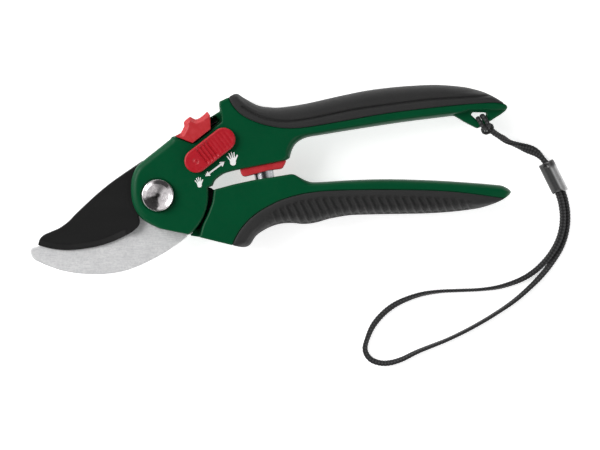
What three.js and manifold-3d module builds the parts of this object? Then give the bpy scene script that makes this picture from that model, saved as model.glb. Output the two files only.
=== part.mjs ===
// Bypass pruner with a thumb lock, an opening-width slider and a wrist lanyard.
// Millimetres, +Z up. The pruner lies flat: +X runs from the blades to the handle ends,
// +Y from the lower handle to the upper handle, +Z from the nut side to the bolt side.
// The origin is the centre of the pruner's footprint, on the surface that it lies on.
import * as THREE from 'three';
import { mergeVertices } from 'three/addons/utils/BufferGeometryUtils.js';
import Module from 'manifold-3d';

const wasm = await Module();
wasm.setup();

// ---------------------------------------------------------------- driving dimensions
const GAP = 0.3;                     // clearance between pieces that touch
const PIVOT = [-49.2, -7.0];         // the pivot bolt's axis
const BODY_Z = [3.6, 18.4];          // green handles, back face to front face
const GRIP_Z = [3.0, 19.0];          // soft grips stand slightly proud of the handles
const TONGUE_Z = [7.0, 15.0];        // core of the handle that the grip is moulded round
const SLOT_Z = [7.7, 14.3];          // slot between the two walls of the head
const HOOK_Z = [8.0, 10.85];         // counter blade plate
const BLADE_Z = [11.15, 14.0];       // cutting blade plate
const MID_Z = 11;                    // shear plane between the two plates

const HEAD_ARC_R = 21.9;             // rear edge of the head, round the pivot
const SLOT_R = 20.2;                 // round part of the slot in the head
const HUB_R = 13.0;                  // both blades round the pivot
const LOBE_R = 19.6;                 // stop lobe on the cutting blade
const BLADE_HOLE_R = 5.8;
const BUSH_R = 5.5;
const SHANK_R = 4.0;
const SHANK_HOLE_R = 4.3;
const BOLT_HEAD_R = 6.9;

const SLIDE_ANGLE = 38;              // direction of both sliders, degrees above +X
const SPRING_AXIS_ANGLE = 99;        // spring axis, degrees above +X
const SPRING_FOOT = [-2.6, 0.5];     // where the spring axis enters the lower handle
const EDGE = 0.6;                    // bevel on the edges of the handles and grips
const CORD_R = 0.8;

// ---------------------------------------------------------------- materials
function finish(color, roughness, metalness) {
  return new THREE.MeshStandardMaterial({ color, roughness, metalness });
}
const GREEN = finish(0x044a2c, 0.42, 0);
const RUBBER = finish(0x363636, 0.7, 0);
const COATED = finish(0x242424, 0.5, 0.3);
const STEEL = finish(0xc8c8c8, 0.35, 1);
const CHROME = finish(0xe0e0e0, 0.1, 1);
const RED = finish(0xb01f2e, 0.35, 0);
const BRONZE = finish(0xa07a3c, 0.4, 1);
const CORD = finish(0x2b2b2b, 0.8, 0);
const GUNMETAL = finish(0x5a5a5a, 0.35, 0.9);

// ---------------------------------------------------------------- outline helpers
const rad = (degrees) => degrees * Math.PI / 180;

function spline(points, perSpan = 3) {
  const curve = new THREE.SplineCurve(points.map(([x, y]) => new THREE.Vector2(x, y)));
  return curve.getPoints((points.length - 1) * perSpan).map((p) => [p.x, p.y]);
}

function arc([cx, cy], radius, fromDeg, toDeg, steps = 12) {
  const points = [];
  for (let i = 0; i <= steps; i += 1) {
    const a = rad(fromDeg + (toDeg - fromDeg) * i / steps);
    points.push([cx + radius * Math.cos(a), cy + radius * Math.sin(a)]);
  }
  return points;
}

function circle(centre, radius, steps = 24) {
  return arc(centre, radius, 0, 360 - 360 / steps, steps - 1);
}

// Moves an open line of points sideways, to the left of its direction.
function shiftLine(points, distance) {
  return points.map(([x, y], i) => {
    const [ax, ay] = points[Math.max(i - 1, 0)];
    const [bx, by] = points[Math.min(i + 1, points.length - 1)];
    const length = Math.hypot(bx - ax, by - ay);
    return [x - (by - ay) / length * distance, y + (bx - ax) / length * distance];
  });
}

// A point given along and across the sliders' direction, measured from the pivot.
function onSlide(along, across) {
  const c = Math.cos(rad(SLIDE_ANGLE));
  const s = Math.sin(rad(SLIDE_ANGLE));
  return [PIVOT[0] + along * c - across * s, PIVOT[1] + along * s + across * c];
}

function slideBox([a0, a1], [c0, c1]) {
  return [onSlide(a0, c0), onSlide(a1, c0), onSlide(a1, c1), onSlide(a0, c1)];
}

// ---------------------------------------------------------------- solid helpers
function plate(points, [z0, z1], bevel = 0) {
  const shape = new THREE.Shape(points.map(([x, y]) => new THREE.Vector2(x, y)));
  const geometry = new THREE.ExtrudeGeometry(shape, {
    depth: z1 - z0 - 2 * bevel,
    bevelEnabled: bevel > 0,
    bevelThickness: bevel,
    bevelSize: bevel,
    bevelOffset: -bevel,
    bevelSegments: 1,
  });
  geometry.translate(0, 0, z0 + bevel);
  return geometry;
}

// A turned piece on the line through [x, y]; profile is [radius, z] from the axis back to it.
function turned(profile, [x, y], segments = 24) {
  const points = profile.map(([r, z]) => new THREE.Vector2(r, z));
  const geometry = new THREE.LatheGeometry(points, segments);
  geometry.rotateX(Math.PI / 2);
  geometry.translate(x, y, 0);
  return geometry;
}

function rod(radius, [z0, z1], centre, segments = 24) {
  return turned([[0, z0], [radius, z0], [radius, z1], [0, z1]], centre, segments);
}

function ring(inner, outer, [z0, z1], centre, segments = 24) {
  const profile = [[inner, z0], [outer, z0], [outer, z1], [inner, z1], [inner, z0]];
  return turned(profile, centre, segments);
}

// A round bar whose axis is the spring's axis, between two heights along it.
function springBar(radius, [from, to], segments = 20) {
  const geometry = new THREE.CylinderGeometry(radius, radius, to - from, segments);
  geometry.translate(0, (from + to) / 2, 0);
  geometry.rotateZ(rad(SPRING_AXIS_ANGLE - 90));
  geometry.translate(SPRING_FOOT[0], SPRING_FOOT[1], MID_Z);
  return geometry;
}

function toSolid(geometry) {
  const bare = geometry.clone();
  bare.deleteAttribute('normal');
  bare.deleteAttribute('uv');
  const merged = mergeVertices(bare, 1e-4);
  const solid = new wasm.Manifold(new wasm.Mesh({
    numProp: 3,
    vertProperties: new Float32Array(merged.attributes.position.array),
    triVerts: new Uint32Array(merged.index.array),
  }));
  return solid.volume() < 0 ? toSolid(flipped(merged)) : solid;
}

function flipped(geometry) {
  const index = Array.from(geometry.index.array);
  for (let i = 0; i < index.length; i += 3) {
    [index[i], index[i + 1]] = [index[i + 1], index[i]];
  }
  geometry.setIndex(index);
  return geometry;
}

function toGeometry(solid) {
  const mesh = solid.getMesh();
  const geometry = new THREE.BufferGeometry();
  geometry.setAttribute('position', new THREE.BufferAttribute(mesh.vertProperties, 3));
  geometry.setIndex(new THREE.BufferAttribute(mesh.triVerts, 1));
  geometry.computeVertexNormals();
  return geometry;
}

// base plus the pieces in add, less the pieces in cut
function shaped(base, add = [], cut = []) {
  let solid = toSolid(base);
  for (const piece of add) solid = solid.add(toSolid(piece));
  for (const piece of cut) solid = solid.subtract(toSolid(piece));
  return toGeometry(solid);
}

const pruner = new THREE.Group();

function part(name, geometry, material) {
  const mesh = new THREE.Mesh(geometry, material);
  mesh.name = name;
  pruner.add(mesh);
}

// ---------------------------------------------------------------- upper handle
// Border between the green handle and its grip, and the grip's outer edge, left to right.
const UPPER_BORDER = spline([
  [-18.3, 35.8], [-16.8, 32.4], [-13.2, 28.5], [-8.3, 25.7], [-2.1, 23.6], [6, 22.3],
  [14.9, 22.7], [30, 25.2], [48.6, 28.5], [64.5, 30.6], [81.3, 32.5], [99.6, 34.2],
]);
const UPPER_BACK = spline([
  [-18.3, 35.8], [-15, 37.3], [-11.3, 35.2], [-5.5, 32.4], [0.9, 31.4], [14.9, 32.7],
  [30.5, 36], [48.6, 39.4], [60, 40.8], [70.7, 41.4], [84, 40.6], [93, 37.9], [99.6, 34.2],
]);
const UNDERSIDE = [
  ...spline([[-25.5, -2.7], [-24.4, -0.4], [-22.2, 1.5], [-19.6, 2.9], [-15, 4.1]]),
  [6.4, 8.3],
  ...spline([[8.2, 9.3], [8.6, 11], [9.8, 14.1], [11.9, 16.5], [15.6, 18.3], [21.1, 19.3]]),
  ...spline([[30.2, 20.8], [54.7, 24.6], [79.9, 27.8]], 2),
];
const LUG = [
  [84, 25.3], [89, 22.7], [90.1, 22.3], [91.2, 22.7], [96, 25.6], [100.7, 28.6],
  [102.6, 30.2], [103.2, 31.4], [102.4, 32.8],
];
const HEAD_FRONT = [
  [-43.8, 17.5], [-56, 7.7], ...spline([[-57.1, 7.6], [-59.3, 5], [-60.7, 1.1], [-61, -3.4],
    [-60.7, -8.3], [-59.6, -12.2], [-57.6, -15.6], [-55.5, -17.9]], 2),
];
const HEAD_BOTTOM = spline([[-51.9, -20], [-48.1, -21.5], [-42.5, -22.7], [-36.4, -24]], 2);

function upperHandle() {
  const outline = [
    ...HEAD_BOTTOM,
    ...arc(PIVOT, HEAD_ARC_R, -51, 9, 12),
    ...UNDERSIDE,
    ...LUG,
    ...shiftLine(UPPER_BORDER, -GAP / 2).reverse(),
    [-22.4, 33.9], [-22.7, 32.4], [-22.4, 29.8],
    [-40.5, 17.8], [-42.9, 18.7],
    ...HEAD_FRONT,
  ];
  const tongue = [
    ...shiftLine(UPPER_BORDER, -1.2).slice(9, 31),
    ...shiftLine(UPPER_BACK, -3.2).slice(13, 34).reverse(),
  ];
  const slot = [
    ...arc(PIVOT, SLOT_R, 8, 280, 44),
    ...arc(PIVOT, 25, 280, 368, 16),
  ];
  const tangPocket = slideBox([12, 46.3], [-6.3, 6.3]);
  const lockWindow = [
    onSlide(20.6, 17.8), onSlide(22, 15.4), onSlide(26, 8.3), onSlide(41.4, 7.9),
    [-21.3, 27.3], [-22, 30.9], [-22.7, 32.4], [-23, 38], [-36, 36],
  ];
  const lugHole = [
    [87.2, 28.2], ...spline([[90.1, 25.6], [90.8, 25.1], [91.5, 25.4]], 2), [94, 28.2],
    [93.9, 29.0], [93.3, 29.3], [88, 29.3],
  ];
  const lugSide = [[79, 28.2], [79, 18], [106, 18], [106, 30.4], [86, 30.2]];
  return shaped(
    plate(outline, BODY_Z, EDGE),
    [plate(tongue, TONGUE_Z)],
    [
      plate(slot, SLOT_Z),
      plate(tangPocket, [SLOT_Z[0], HOOK_Z[1] + GAP]),
      plate(slideBox([20.6, 36.6], [-5.6, 6.3]), [BLADE_Z[0] - GAP, SLOT_Z[1]]),
      plate(slideBox([21.5, 36.4], [-0.8, 3.8]), [SLOT_Z[1] - 1, 19]),
      plate(lockWindow, [BLADE_Z[0], 19]),
      plate(slideBox([18.6, 40.8], [8.3, 13.4]), [BLADE_Z[0], SLOT_Z[1]]),
      plate(slideBox([28, 41], [9.2, 11.9]), [9, SLOT_Z[1]]),
      plate(lugHole, [0, 22]),
      plate(lugSide, [3, 7]),
      plate(lugSide, [15, 19]),
      rod(SHANK_HOLE_R, [0, 22], PIVOT),
      rod(9.3, [SLOT_Z[1] - 0.5, 15.2], PIVOT),
      rod(8.3, [3, 5.8], PIVOT),
      ...RIVETS.hook.map((centre) => rivetHole(centre, HOOK_Z[1])),
      springBar(2.3, [5, 12.3]),
    ],
  );
}

function upperGrip() {
  const outline = [
    ...shiftLine(UPPER_BORDER, GAP / 2),
    ...UPPER_BACK.slice(2, -2).reverse(),
  ];
  const room = [
    ...shiftLine(UPPER_BORDER, -2).slice(8, 32),
    ...shiftLine(UPPER_BACK, -3.2 + GAP).slice(12, 35).reverse(),
  ];
  const grooveRoute = spline([
    [-8, 29.2], [0, 26], [7, 25.2], [14.9, 26], [36.3, 30.3], [60, 33.6], [90, 35.9],
  ]);
  const groove = [...shiftLine(grooveRoute, -0.4), ...shiftLine(grooveRoute, 0.4).reverse()];
  return shaped(plate(outline, GRIP_Z, EDGE), [], [
    plate(room, [TONGUE_Z[0] - GAP, TONGUE_Z[1] + GAP]),
    plate(groove, [GRIP_Z[1] - 0.6, 20]),
    plate(groove, [2, GRIP_Z[0] + 0.6]),
  ]);
}

// ---------------------------------------------------------------- lower handle
const LOWER_BORDER = spline([
  [-16.6, -28.6], [-15.5, -26], [-12.9, -21.7], [-9, -17.3], [-4.6, -13.9], [0.4, -11.1],
  [6, -8.6], [16, -6.1], [30, -4.9], [57.9, -4.7], [80.1, -5.6], [101.2, -8.5],
]);
const LOWER_BACK = spline([
  [-16.6, -28.6], [-12, -29.4], [-8.8, -27.5], [-5.6, -23.9], [1, -20.2], [8.2, -19],
  [18, -19], [26, -17.1], [34, -15.5], [57.9, -14.7], [82.9, -13.5], [94, -11.2], [101.2, -8.5],
]);
const LOWER_TOP = [
  [-24.8, -4.5], [-16.3, -2.2], [-7.4, -0.3], [1.5, 1.1], [8.8, 2.3], [10.4, 2.1],
  ...spline([[13.2, 0.5], [16, -0.7], [20, -1.2], [35.4, -0.3], [52.3, 0.1], [74.5, -0.6],
    [96.8, -2.2], [101.3, -2.8]]),
  ...spline([[103.5, -3.9], [104.8, -5.3], [104, -6.6], [101.9, -8.1]], 2),
];

function lowerHandle() {
  const outline = [
    ...shiftLine(LOWER_BORDER, GAP / 2),
    ...[...LOWER_TOP].reverse(),
    ...spline([[-25.5, -10], [-27.3, -14.9], [-29.8, -20.4], [-31, -25]], 2),
    [-22.9, -27],
  ];
  const tongue = [
    ...shiftLine(LOWER_BORDER, 1.2).slice(9, 31),
    ...shiftLine(LOWER_BACK, 3.2).slice(10, 34).reverse(),
  ];
  return shaped(
    plate(outline, BODY_Z, EDGE),
    [plate(tongue, TONGUE_Z)],
    [
      plate(tangOutline(GAP), [BLADE_Z[0] - GAP, BLADE_Z[1] + GAP]),
      rod(29, [SLOT_Z[0], BLADE_Z[0] - GAP / 2], PIVOT, 72),
      springBar(5.5, [-10.2, 8]),
      ...RIVETS.blade.map((centre) => rivetHole(centre, 16)),
    ],
  );
}

function lowerGrip() {
  const outline = [
    ...LOWER_BACK,
    ...shiftLine(LOWER_BORDER, -GAP / 2).slice(2, -2).reverse(),
  ];
  const room = [
    ...shiftLine(LOWER_BORDER, 2).slice(8, 32),
    ...shiftLine(LOWER_BACK, 3.2 - GAP).slice(9, 35).reverse(),
  ];
  return shaped(plate(outline, GRIP_Z, EDGE), [], [
    plate(room, [TONGUE_Z[0] - GAP, TONGUE_Z[1] + GAP]),
  ]);
}

// ---------------------------------------------------------------- blades
// The blade's tang where it sits in the lower handle, grown by a clearance.
function tangOutline(grow) {
  return [
    [-33.5, -22.6 - grow], [-26, -21 - grow], [-15.5, -18 - grow], [-13 + grow, -16],
    [-13 + grow, -11.5], [-15.5, -9.5 + grow], [-24, -6.6 + grow], [-33.5, -4.6 + grow],
  ];
}

function cuttingBlade() {
  const back = spline([
    [-57.1, 7.8], [-61, 6.1], [-67.1, 2.5], [-73.2, -2.5], [-79.3, -8.3], [-84.9, -14.4],
    [-88.2, -18.3], [-92.1, -21.1], [-96, -22.8], [-98.6, -24.1], [-100.3, -25.9],
    [-101.2, -28.6],
  ], 2);
  const edge = spline([
    [-95, -30.4], [-88, -30.9], [-81, -30.2], [-74.3, -28.9], [-67.7, -26.7], [-62, -24.1],
    [-58.3, -21.6], [-57.5, -19.2],
  ], 2);
  const outline = [
    ...edge,
    ...arc(PIVOT, HUB_R, 236, 270, 4),
    [-44, -21],
    ...tangOutline(0),
    [-33.5, 2],
    ...arc(PIVOT, LOBE_R, 50, 62, 3),
    ...arc(PIVOT, LOBE_R - 2, 63, 69, 2),
    ...arc(PIVOT, LOBE_R, 70, 84, 3),
    ...arc(PIVOT, 15.6, 96, 110, 2),
    ...back,
  ];
  return shaped(plate(outline, BLADE_Z), [], [
    rod(BLADE_HOLE_R, [0, 22], PIVOT),
    ...RIVETS.blade.map((centre) => rod(2.25, [0, 22], centre, 16)),
  ]);
}

function counterBlade() {
  const outer = spline([
    [-104.3, -29.9], [-104.8, -31.3], [-103.5, -34.4], [-100.6, -36.2], [-96, -38.2],
    [-90.7, -39.9], [-84.3, -41], [-77.6, -41.4], [-71, -41.2], [-64.3, -40], [-57, -37.6],
    [-48.2, -35], [-42.6, -31.4], [-37.1, -25.6],
  ], 2);
  const inner = spline([
    [-62.2, -7], [-63.2, -11], [-66.5, -17], [-71.5, -21.9], [-78, -25.7], [-86, -27.8],
    [-94, -28.4], [-101.2, -28.9],
  ], 2);
  const outline = [
    ...outer,
    ...arc(PIVOT, 21, -48, -14, 6),
    onSlide(17, -6), onSlide(44.5, -6), onSlide(46, -4.5), onSlide(46, 4.5), onSlide(44.5, 6),
    onSlide(14, 6),
    ...arc(PIVOT, HUB_R, 75, 172, 8),
    ...inner,
  ];
  return shaped(plate(outline, HOOK_Z), [], [
    rod(BLADE_HOLE_R, [0, 22], PIVOT),
    ...RIVETS.hook.map((centre) => rod(2.25, [0, 22], centre, 16)),
  ]);
}

// ---------------------------------------------------------------- rivets
const RIVETS = {
  hook: [onSlide(26, 0), onSlide(40, 0)],
  blade: [[-24.5, -13.5], [-17.5, -13.5]],
};

function rivet(centre, top) {
  const profile = [[0, 3.9], [3, 3.9], [3, 4.4], [2, 5.4], [2, top], [0, top]];
  return turned(profile, centre, 16);
}

function rivetHole(centre, top) {
  const profile = [
    [0, 3], [3.3, 3], [3.3, 4.5], [2.25, 5.6], [2.25, top + GAP], [0, top + GAP],
  ];
  return turned(profile, centre, 16);
}

// ---------------------------------------------------------------- pivot
function pivotBolt() {
  const head = BODY_Z[1] + GAP;
  return turned([
    [0, 0.5], [SHANK_R, 0.5], [SHANK_R, head], [BOLT_HEAD_R, head], [BOLT_HEAD_R, head + 1],
    [6.4, head + 1.8], [5.7, head + 2.1], [5.1, head + 1.8], [4.2, head + 1.2],
    [2.6, head + 0.8], [0, head + 0.6],
  ], PIVOT, 32);
}

function pivotNut() {
  const corners = arc(PIVOT, 7.5, 0, 300, 5);
  return shaped(plate(corners, [0, 4.4], 0.4), [], [rod(SHANK_R + 0.25, [-1, 6], PIVOT)]);
}

// ---------------------------------------------------------------- spring and its seat
function springSeat() {
  const outline = [
    [-13, 4.3], [6.2, 8.0], [6.3, 7.2], [4.9, 5], [3.9, 4.5], [-0.3, 4.0], [-6.6, 2.4],
    [-9, 1.7], [-11, 1.3], [-12, 1.5], [-12.6, 2.4],
  ];
  return shaped(plate(outline, [5, 17], 0.3), [springBar(2, [5, 12])], [
    springBar(5.3, [2, 5.1]),
  ]);
}

// A flat strip rolled into a spiral: its turns slide past each other as the handles open.
function mainSpring() {
  const turns = 2.75;
  const steps = 60;
  const strip = 0.7;
  const [rInner, rOuter] = [2.2, 4.9];
  const line = (inset) => Array.from({ length: steps + 1 }, (_, i) => {
    const a = 2 * Math.PI * turns * i / steps;
    const r = rInner + (rOuter - rInner) * i / steps - inset;
    return [r * Math.cos(a), r * Math.sin(a)];
  });
  const geometry = plate([...line(0), ...line(strip).reverse()], [-9.9, 4.8]);
  geometry.rotateX(-Math.PI / 2);
  geometry.rotateZ(rad(SPRING_AXIS_ANGLE - 90));
  geometry.translate(SPRING_FOOT[0], SPRING_FOOT[1], MID_Z);
  return geometry;
}

// ---------------------------------------------------------------- thumb lock
function lockSlider() {
  const thumb = [
    onSlide(22.5, 15.2), onSlide(26.2, 8.6), onSlide(35.9, 8.6), onSlide(38, 11.5),
    onSlide(39.4, 13.8), onSlide(39.5, 15.6),
    ...spline([[37.4, 15.4], [35.2, 15.4], [33.5, 15.9], [32.7, 17.1], [31.9, 18.4],
      [28.6, 18.2], [27.5, 16.7], [24.6, 15.3]].map(([a, c]) => onSlide(a, c)), 2),
  ];
  const nose = slideBox([19.8, 27.5], [9, 11.6]);
  const layer = [BLADE_Z[0] + GAP, SLOT_Z[1] - GAP];
  const nub = slideBox([31, 33], [11.1, 11.6]);
  return shaped(plate(thumb, [layer[0], 19.8], 0.3), [
    plate(nose, layer),
    plate(nub, [9.6, layer[1]]),
  ]);
}

// A bent leaf that presses sideways and holds a slider in either end position.
function leafSpring(along, across, bow, layer) {
  const route = spline([[0, 0], [0.25, 0.45], [0.5, 1], [0.75, 0.45], [1, 0]].map(
    ([t, h]) => onSlide(along[0] + (along[1] - along[0]) * t, across + bow * h),
  ), 3);
  const strip = [...shiftLine(route, -0.2), ...shiftLine(route, 0.2).reverse()];
  return plate(strip, layer);
}

// ---------------------------------------------------------------- width slider
function widthSlider() {
  const radius = 5.15;
  const [near, far] = [22.4, 37.5];
  const across = 1.5;
  const cap = [
    ...arc(onSlide(near, across), radius, SLIDE_ANGLE + 90, SLIDE_ANGLE + 270, 12),
    ...arc(onSlide(far, across), radius, SLIDE_ANGLE - 90, SLIDE_ANGLE + 90, 12),
  ];
  const top = BODY_Z[1] + GAP + 2.1;
  const grooves = [];
  for (let i = 0; i < 5; i += 1) {
    const at = near + 3.2 + 1.9 * i;
    grooves.push(plate(slideBox([at, at + 0.8], [across - 4.2, across + 4.2]), [top - 0.5, 22]));
  }
  return shaped(
    plate(cap, [BODY_Z[1] + GAP, top], 0.5),
    [plate(slideBox([28.2, 36], [-0.4, 3.4]), [BLADE_Z[1] + GAP, BODY_Z[1] + 1])],
    [
      ...grooves,
      rod(1.4, [top - 0.6, 22], onSlide(near - 0.3, across), 16),
      rod(1.3, [BLADE_Z[1], 18], onSlide(32.1, across), 16),
    ],
  );
}

function widthStop() {
  const block = slideBox([27.4, 36.3], [-3, 6]);
  return shaped(plate(block, [BLADE_Z[0], BLADE_Z[1]]), [], [
    rod(1.3, [0, 22], onSlide(32.1, 1.5), 16),
    rod(2.3, [0, BLADE_Z[0] + 1.2], onSlide(32.1, 1.5), 16),
  ]);
}

function widthScrew() {
  const foot = BLADE_Z[0] + 0.05;
  return turned([
    [0, foot], [2, foot], [2, foot + 0.9], [1.05, foot + 0.9], [1.05, 17.6], [0, 17.6],
  ], onSlide(32.1, 1.5), 16);
}

// ---------------------------------------------------------------- wrist lanyard
const HOLE_POINT = [91.2, 27.4];          // where the hitch passes through the lug
const LUG_NORMAL = [0.52, -0.85];         // square to the lug's outer edge
const CRIMP_TOP = [119.6, 7.55];
const CRIMP_DIRECTION = [0.446, -0.895];
const CRIMP_LENGTH = 14.3;

const NECK_ROUTE = [
  [94.75, 21.7, 11], [97.2, 20.4, 10.2], [100.5, 18.6, 7.6], [104, 16.6, 4.6], [107.5, 15.2, 2.7],
  [111, 13.9, 2.1], [114.5, 12.2, 2.1], [117.2, 10.2, 2.2], [119.45, 7.85, 2.3],
];
const LOOP_ROUTE = [
  [125.2, -6.1], [126.3, -9.6], [127.1, -14.5], [127.1, -18.7], [126.5, -22.6],
  [125.1, -27], [122.7, -31.5], [119.3, -36], [114.5, -40.4], [108.5, -43.9], [99.8, -46.8],
  [91, -48], [82.4, -48.4], [73.7, -48.8], [65, -50.2], [56.2, -53.5], [49.8, -57.8],
  [44.6, -63.8], [41.5, -71], [41.3, -75.2], [44, -78.7], [49.5, -80.1], [56.2, -78.7],
  [64.5, -74.8], [78, -69.4], [91.2, -62.6], [104.2, -54.3], [112.9, -46.9], [119.6, -39.7],
  [124.8, -32.3], [127.3, -27.2], [128.6, -22.4], [129.1, -18.2], [129, -13.8], [128.2, -9.2],
  [126.9, -5.3],
];

// The cord's bight: through the lug's hole and round its edge.
function lanyardHitch() {
  const centre = [2.55, MID_Z];
  const loop = (w, h, corner) => [
    [-w, corner - h], [corner - w, -h], [w - corner, -h], [w, corner - h],
    [w, h - corner], [w - corner, h], [corner - w, h], [-w, h - corner],
  ].map(([x, y]) => new THREE.Vector2(centre[0] + x, centre[1] + y));
  const shape = new THREE.Shape(loop(3.15, 5.5, 1));
  shape.holes.push(new THREE.Path(loop(2.0, 4.35, 0.4)));
  const geometry = new THREE.ExtrudeGeometry(shape, { depth: 2.2, bevelEnabled: false });
  geometry.translate(0, 0, -1.1);
  geometry.rotateX(Math.PI / 2);
  geometry.rotateZ(Math.atan2(LUG_NORMAL[1], LUG_NORMAL[0]));
  geometry.translate(HOLE_POINT[0], HOLE_POINT[1], 0);
  return geometry;
}

// A round tube with eight sides along a smooth route.
function tube(route, radius, steps) {
  const curve = new THREE.CatmullRomCurve3(route.map((p) => new THREE.Vector3(...p)));
  const section = new THREE.Shape(circle([0, 0], radius, 8).map(
    ([x, y]) => new THREE.Vector2(x, y),
  ));
  return new THREE.ExtrudeGeometry(section, { steps, bevelEnabled: false, extrudePath: curve });
}

// A folded metal clamp: two round lobes side by side.
function lanyardCrimp() {
  const lobe = 2.0;
  const half = 1.65;
  const section = [
    ...arc([half, 2.4], lobe, -60, 60, 8), [half, 2.4 + lobe], [0.4, 2.4 + 1.6],
    [-0.4, 2.4 + 1.6], [-half, 2.4 + lobe], ...arc([-half, 2.4], lobe, 120, 240, 8),
    [-half, 2.4 - lobe], [-0.4, 2.4 - 1.6], [0.4, 2.4 - 1.6], [half, 2.4 - lobe],
  ];
  const geometry = plate(section, [0, CRIMP_LENGTH]);
  geometry.rotateX(Math.PI / 2);
  geometry.rotateZ(Math.atan2(CRIMP_DIRECTION[1], CRIMP_DIRECTION[0]) + Math.PI / 2);
  geometry.translate(CRIMP_TOP[0], CRIMP_TOP[1], 0);
  return geometry;
}

// ---------------------------------------------------------------- assembly
part('upper_handle', upperHandle(), GREEN);
part('upper_grip', upperGrip(), RUBBER);
part('counter_blade', counterBlade(), STEEL);
RIVETS.hook.forEach((centre, i) => {
  part(`counter_blade_rivet_${i + 1}`, rivet(centre, HOOK_Z[1]), STEEL);
});
part('pivot_bolt', pivotBolt(), CHROME);
part('pivot_nut', pivotNut(), CHROME);
part('nut_washer', ring(SHANK_HOLE_R, 7.9, [4.7, 5.5], PIVOT), STEEL);
part('pivot_bush', ring(SHANK_HOLE_R, BUSH_R, [HOOK_Z[0], BLADE_Z[1]], PIVOT), BRONZE);
part('thrust_washer', ring(SHANK_HOLE_R, 9, [14.3, 14.9], PIVOT), BRONZE);
part('spring_seat', springSeat(), RED);
part('main_spring', mainSpring(), STEEL);
part('lock_slider', lockSlider(), RED);
part('lock_detent_spring', leafSpring([29, 40], 9.7, 0.9, [9.3, 10.9]), STEEL);
part('width_slider', widthSlider(), RED);
part('width_stop', widthStop(), GUNMETAL);
part('width_screw', widthScrew(), STEEL);
part('width_detent_spring', leafSpring([24, 35], -5.2, 1.6, [11.6, 13.8]), STEEL);
part('lower_handle', lowerHandle(), GREEN);
part('lower_grip', lowerGrip(), RUBBER);
part('cutting_blade', cuttingBlade(), COATED);
RIVETS.blade.forEach((centre, i) => {
  part(`cutting_blade_rivet_${i + 1}`, rivet(centre, 15.8), STEEL);
});
part('lanyard_hitch', lanyardHitch(), CORD);
part('lanyard_neck', tube(NECK_ROUTE, 1.3, 16), CORD);
part('lanyard_crimp', lanyardCrimp(), GUNMETAL);
part('lanyard_loop', tube(LOOP_ROUTE.map(([x, y]) => [x, y, 1.2]), CORD_R, 78), CORD);

export default pruner;
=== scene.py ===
"""Looks of a bypass pruner: moulded handles, soft grips, blades, pivot, slides, spring and wrist lanyard.

Lengths are millimetres in the row frame until mesh_object() writes them in metres.
"""
import math

import bpy
import numpy as np
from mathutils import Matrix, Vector


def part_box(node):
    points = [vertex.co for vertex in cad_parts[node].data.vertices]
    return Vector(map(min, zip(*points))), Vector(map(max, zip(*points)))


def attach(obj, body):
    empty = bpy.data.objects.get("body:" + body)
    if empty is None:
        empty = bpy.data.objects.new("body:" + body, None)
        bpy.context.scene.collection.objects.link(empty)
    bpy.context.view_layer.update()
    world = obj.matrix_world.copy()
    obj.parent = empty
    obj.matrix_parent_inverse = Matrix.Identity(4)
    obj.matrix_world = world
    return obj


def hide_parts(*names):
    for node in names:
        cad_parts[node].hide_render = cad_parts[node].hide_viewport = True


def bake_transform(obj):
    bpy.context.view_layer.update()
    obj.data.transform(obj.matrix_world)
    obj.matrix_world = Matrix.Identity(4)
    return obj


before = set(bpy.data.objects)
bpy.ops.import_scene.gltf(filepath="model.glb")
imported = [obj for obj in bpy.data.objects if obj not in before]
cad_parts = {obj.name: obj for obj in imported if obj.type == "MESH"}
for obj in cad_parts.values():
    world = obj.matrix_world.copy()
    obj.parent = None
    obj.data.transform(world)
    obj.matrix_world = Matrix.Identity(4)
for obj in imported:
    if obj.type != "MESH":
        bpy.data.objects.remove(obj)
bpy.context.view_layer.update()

MM = 0.001


# ---------------------------------------------------------------- places taken from the frame
def span(node, axis):
    """Lowest and highest coordinate of a CAD node along one axis, in millimetres."""
    low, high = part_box(node)
    return low[axis] / MM, high[axis] / MM


def middle(node):
    return np.array([sum(span(node, 0)) / 2, sum(span(node, 1)) / 2])


PIVOT = middle("pivot_bolt")
BODY_Z = span("upper_handle", 2)
GRIP_Z = span("upper_grip", 2)
BLADE_Z = span("cutting_blade", 2)
HOOK_Z = span("counter_blade", 2)
SEAT_Z = span("spring_seat", 2)
LOCK_Z = span("lock_slider", 2)
BOLT_TOP = span("pivot_bolt", 2)[1]
NUT_Z = span("pivot_nut", 2)
SLIDE_TOP = span("width_slider", 2)[1]
SLOT_Z = (7.7, 14.3)                 # slot between the two walls of the head
CORE_Z = (7.0, 15.0)                 # core of the handle inside the grip, and the lug's web
MID_Z = sum(BODY_Z) / 2
SLIDE_ANGLE = math.radians(38)       # direction of both sliders
SPRING_ANGLE = math.radians(99)      # direction of the spring's axis
SPRING_FOOT = np.array([-3.0, 0.5])  # a point on that axis
HEAD_ARC_R = 21.9                    # the head's round edge along the seam, about the pivot
BUSH_HOLE = 5.8                      # radius of the hole in both blades
BLADE_RIVETS = ((-24.5, -13.5), (-17.5, -13.5))
HOOK_RIVETS = (26, 40)               # along the sliders' direction, from the pivot
RIVET_HOLE = 2.25                    # radius
RIVET_RECESS = 3.3                   # radius of the recess for a rivet's head, in the back of a handle
RIVET_RECESS_Z = (1, 4.6)
CORE_X = (6, 82)                     # stretch of a handle where its core fills the grip
GAP = 0.3                            # clearance between neighbours
SPAN_POINTS = 8                      # points that spline() gives each span


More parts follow.
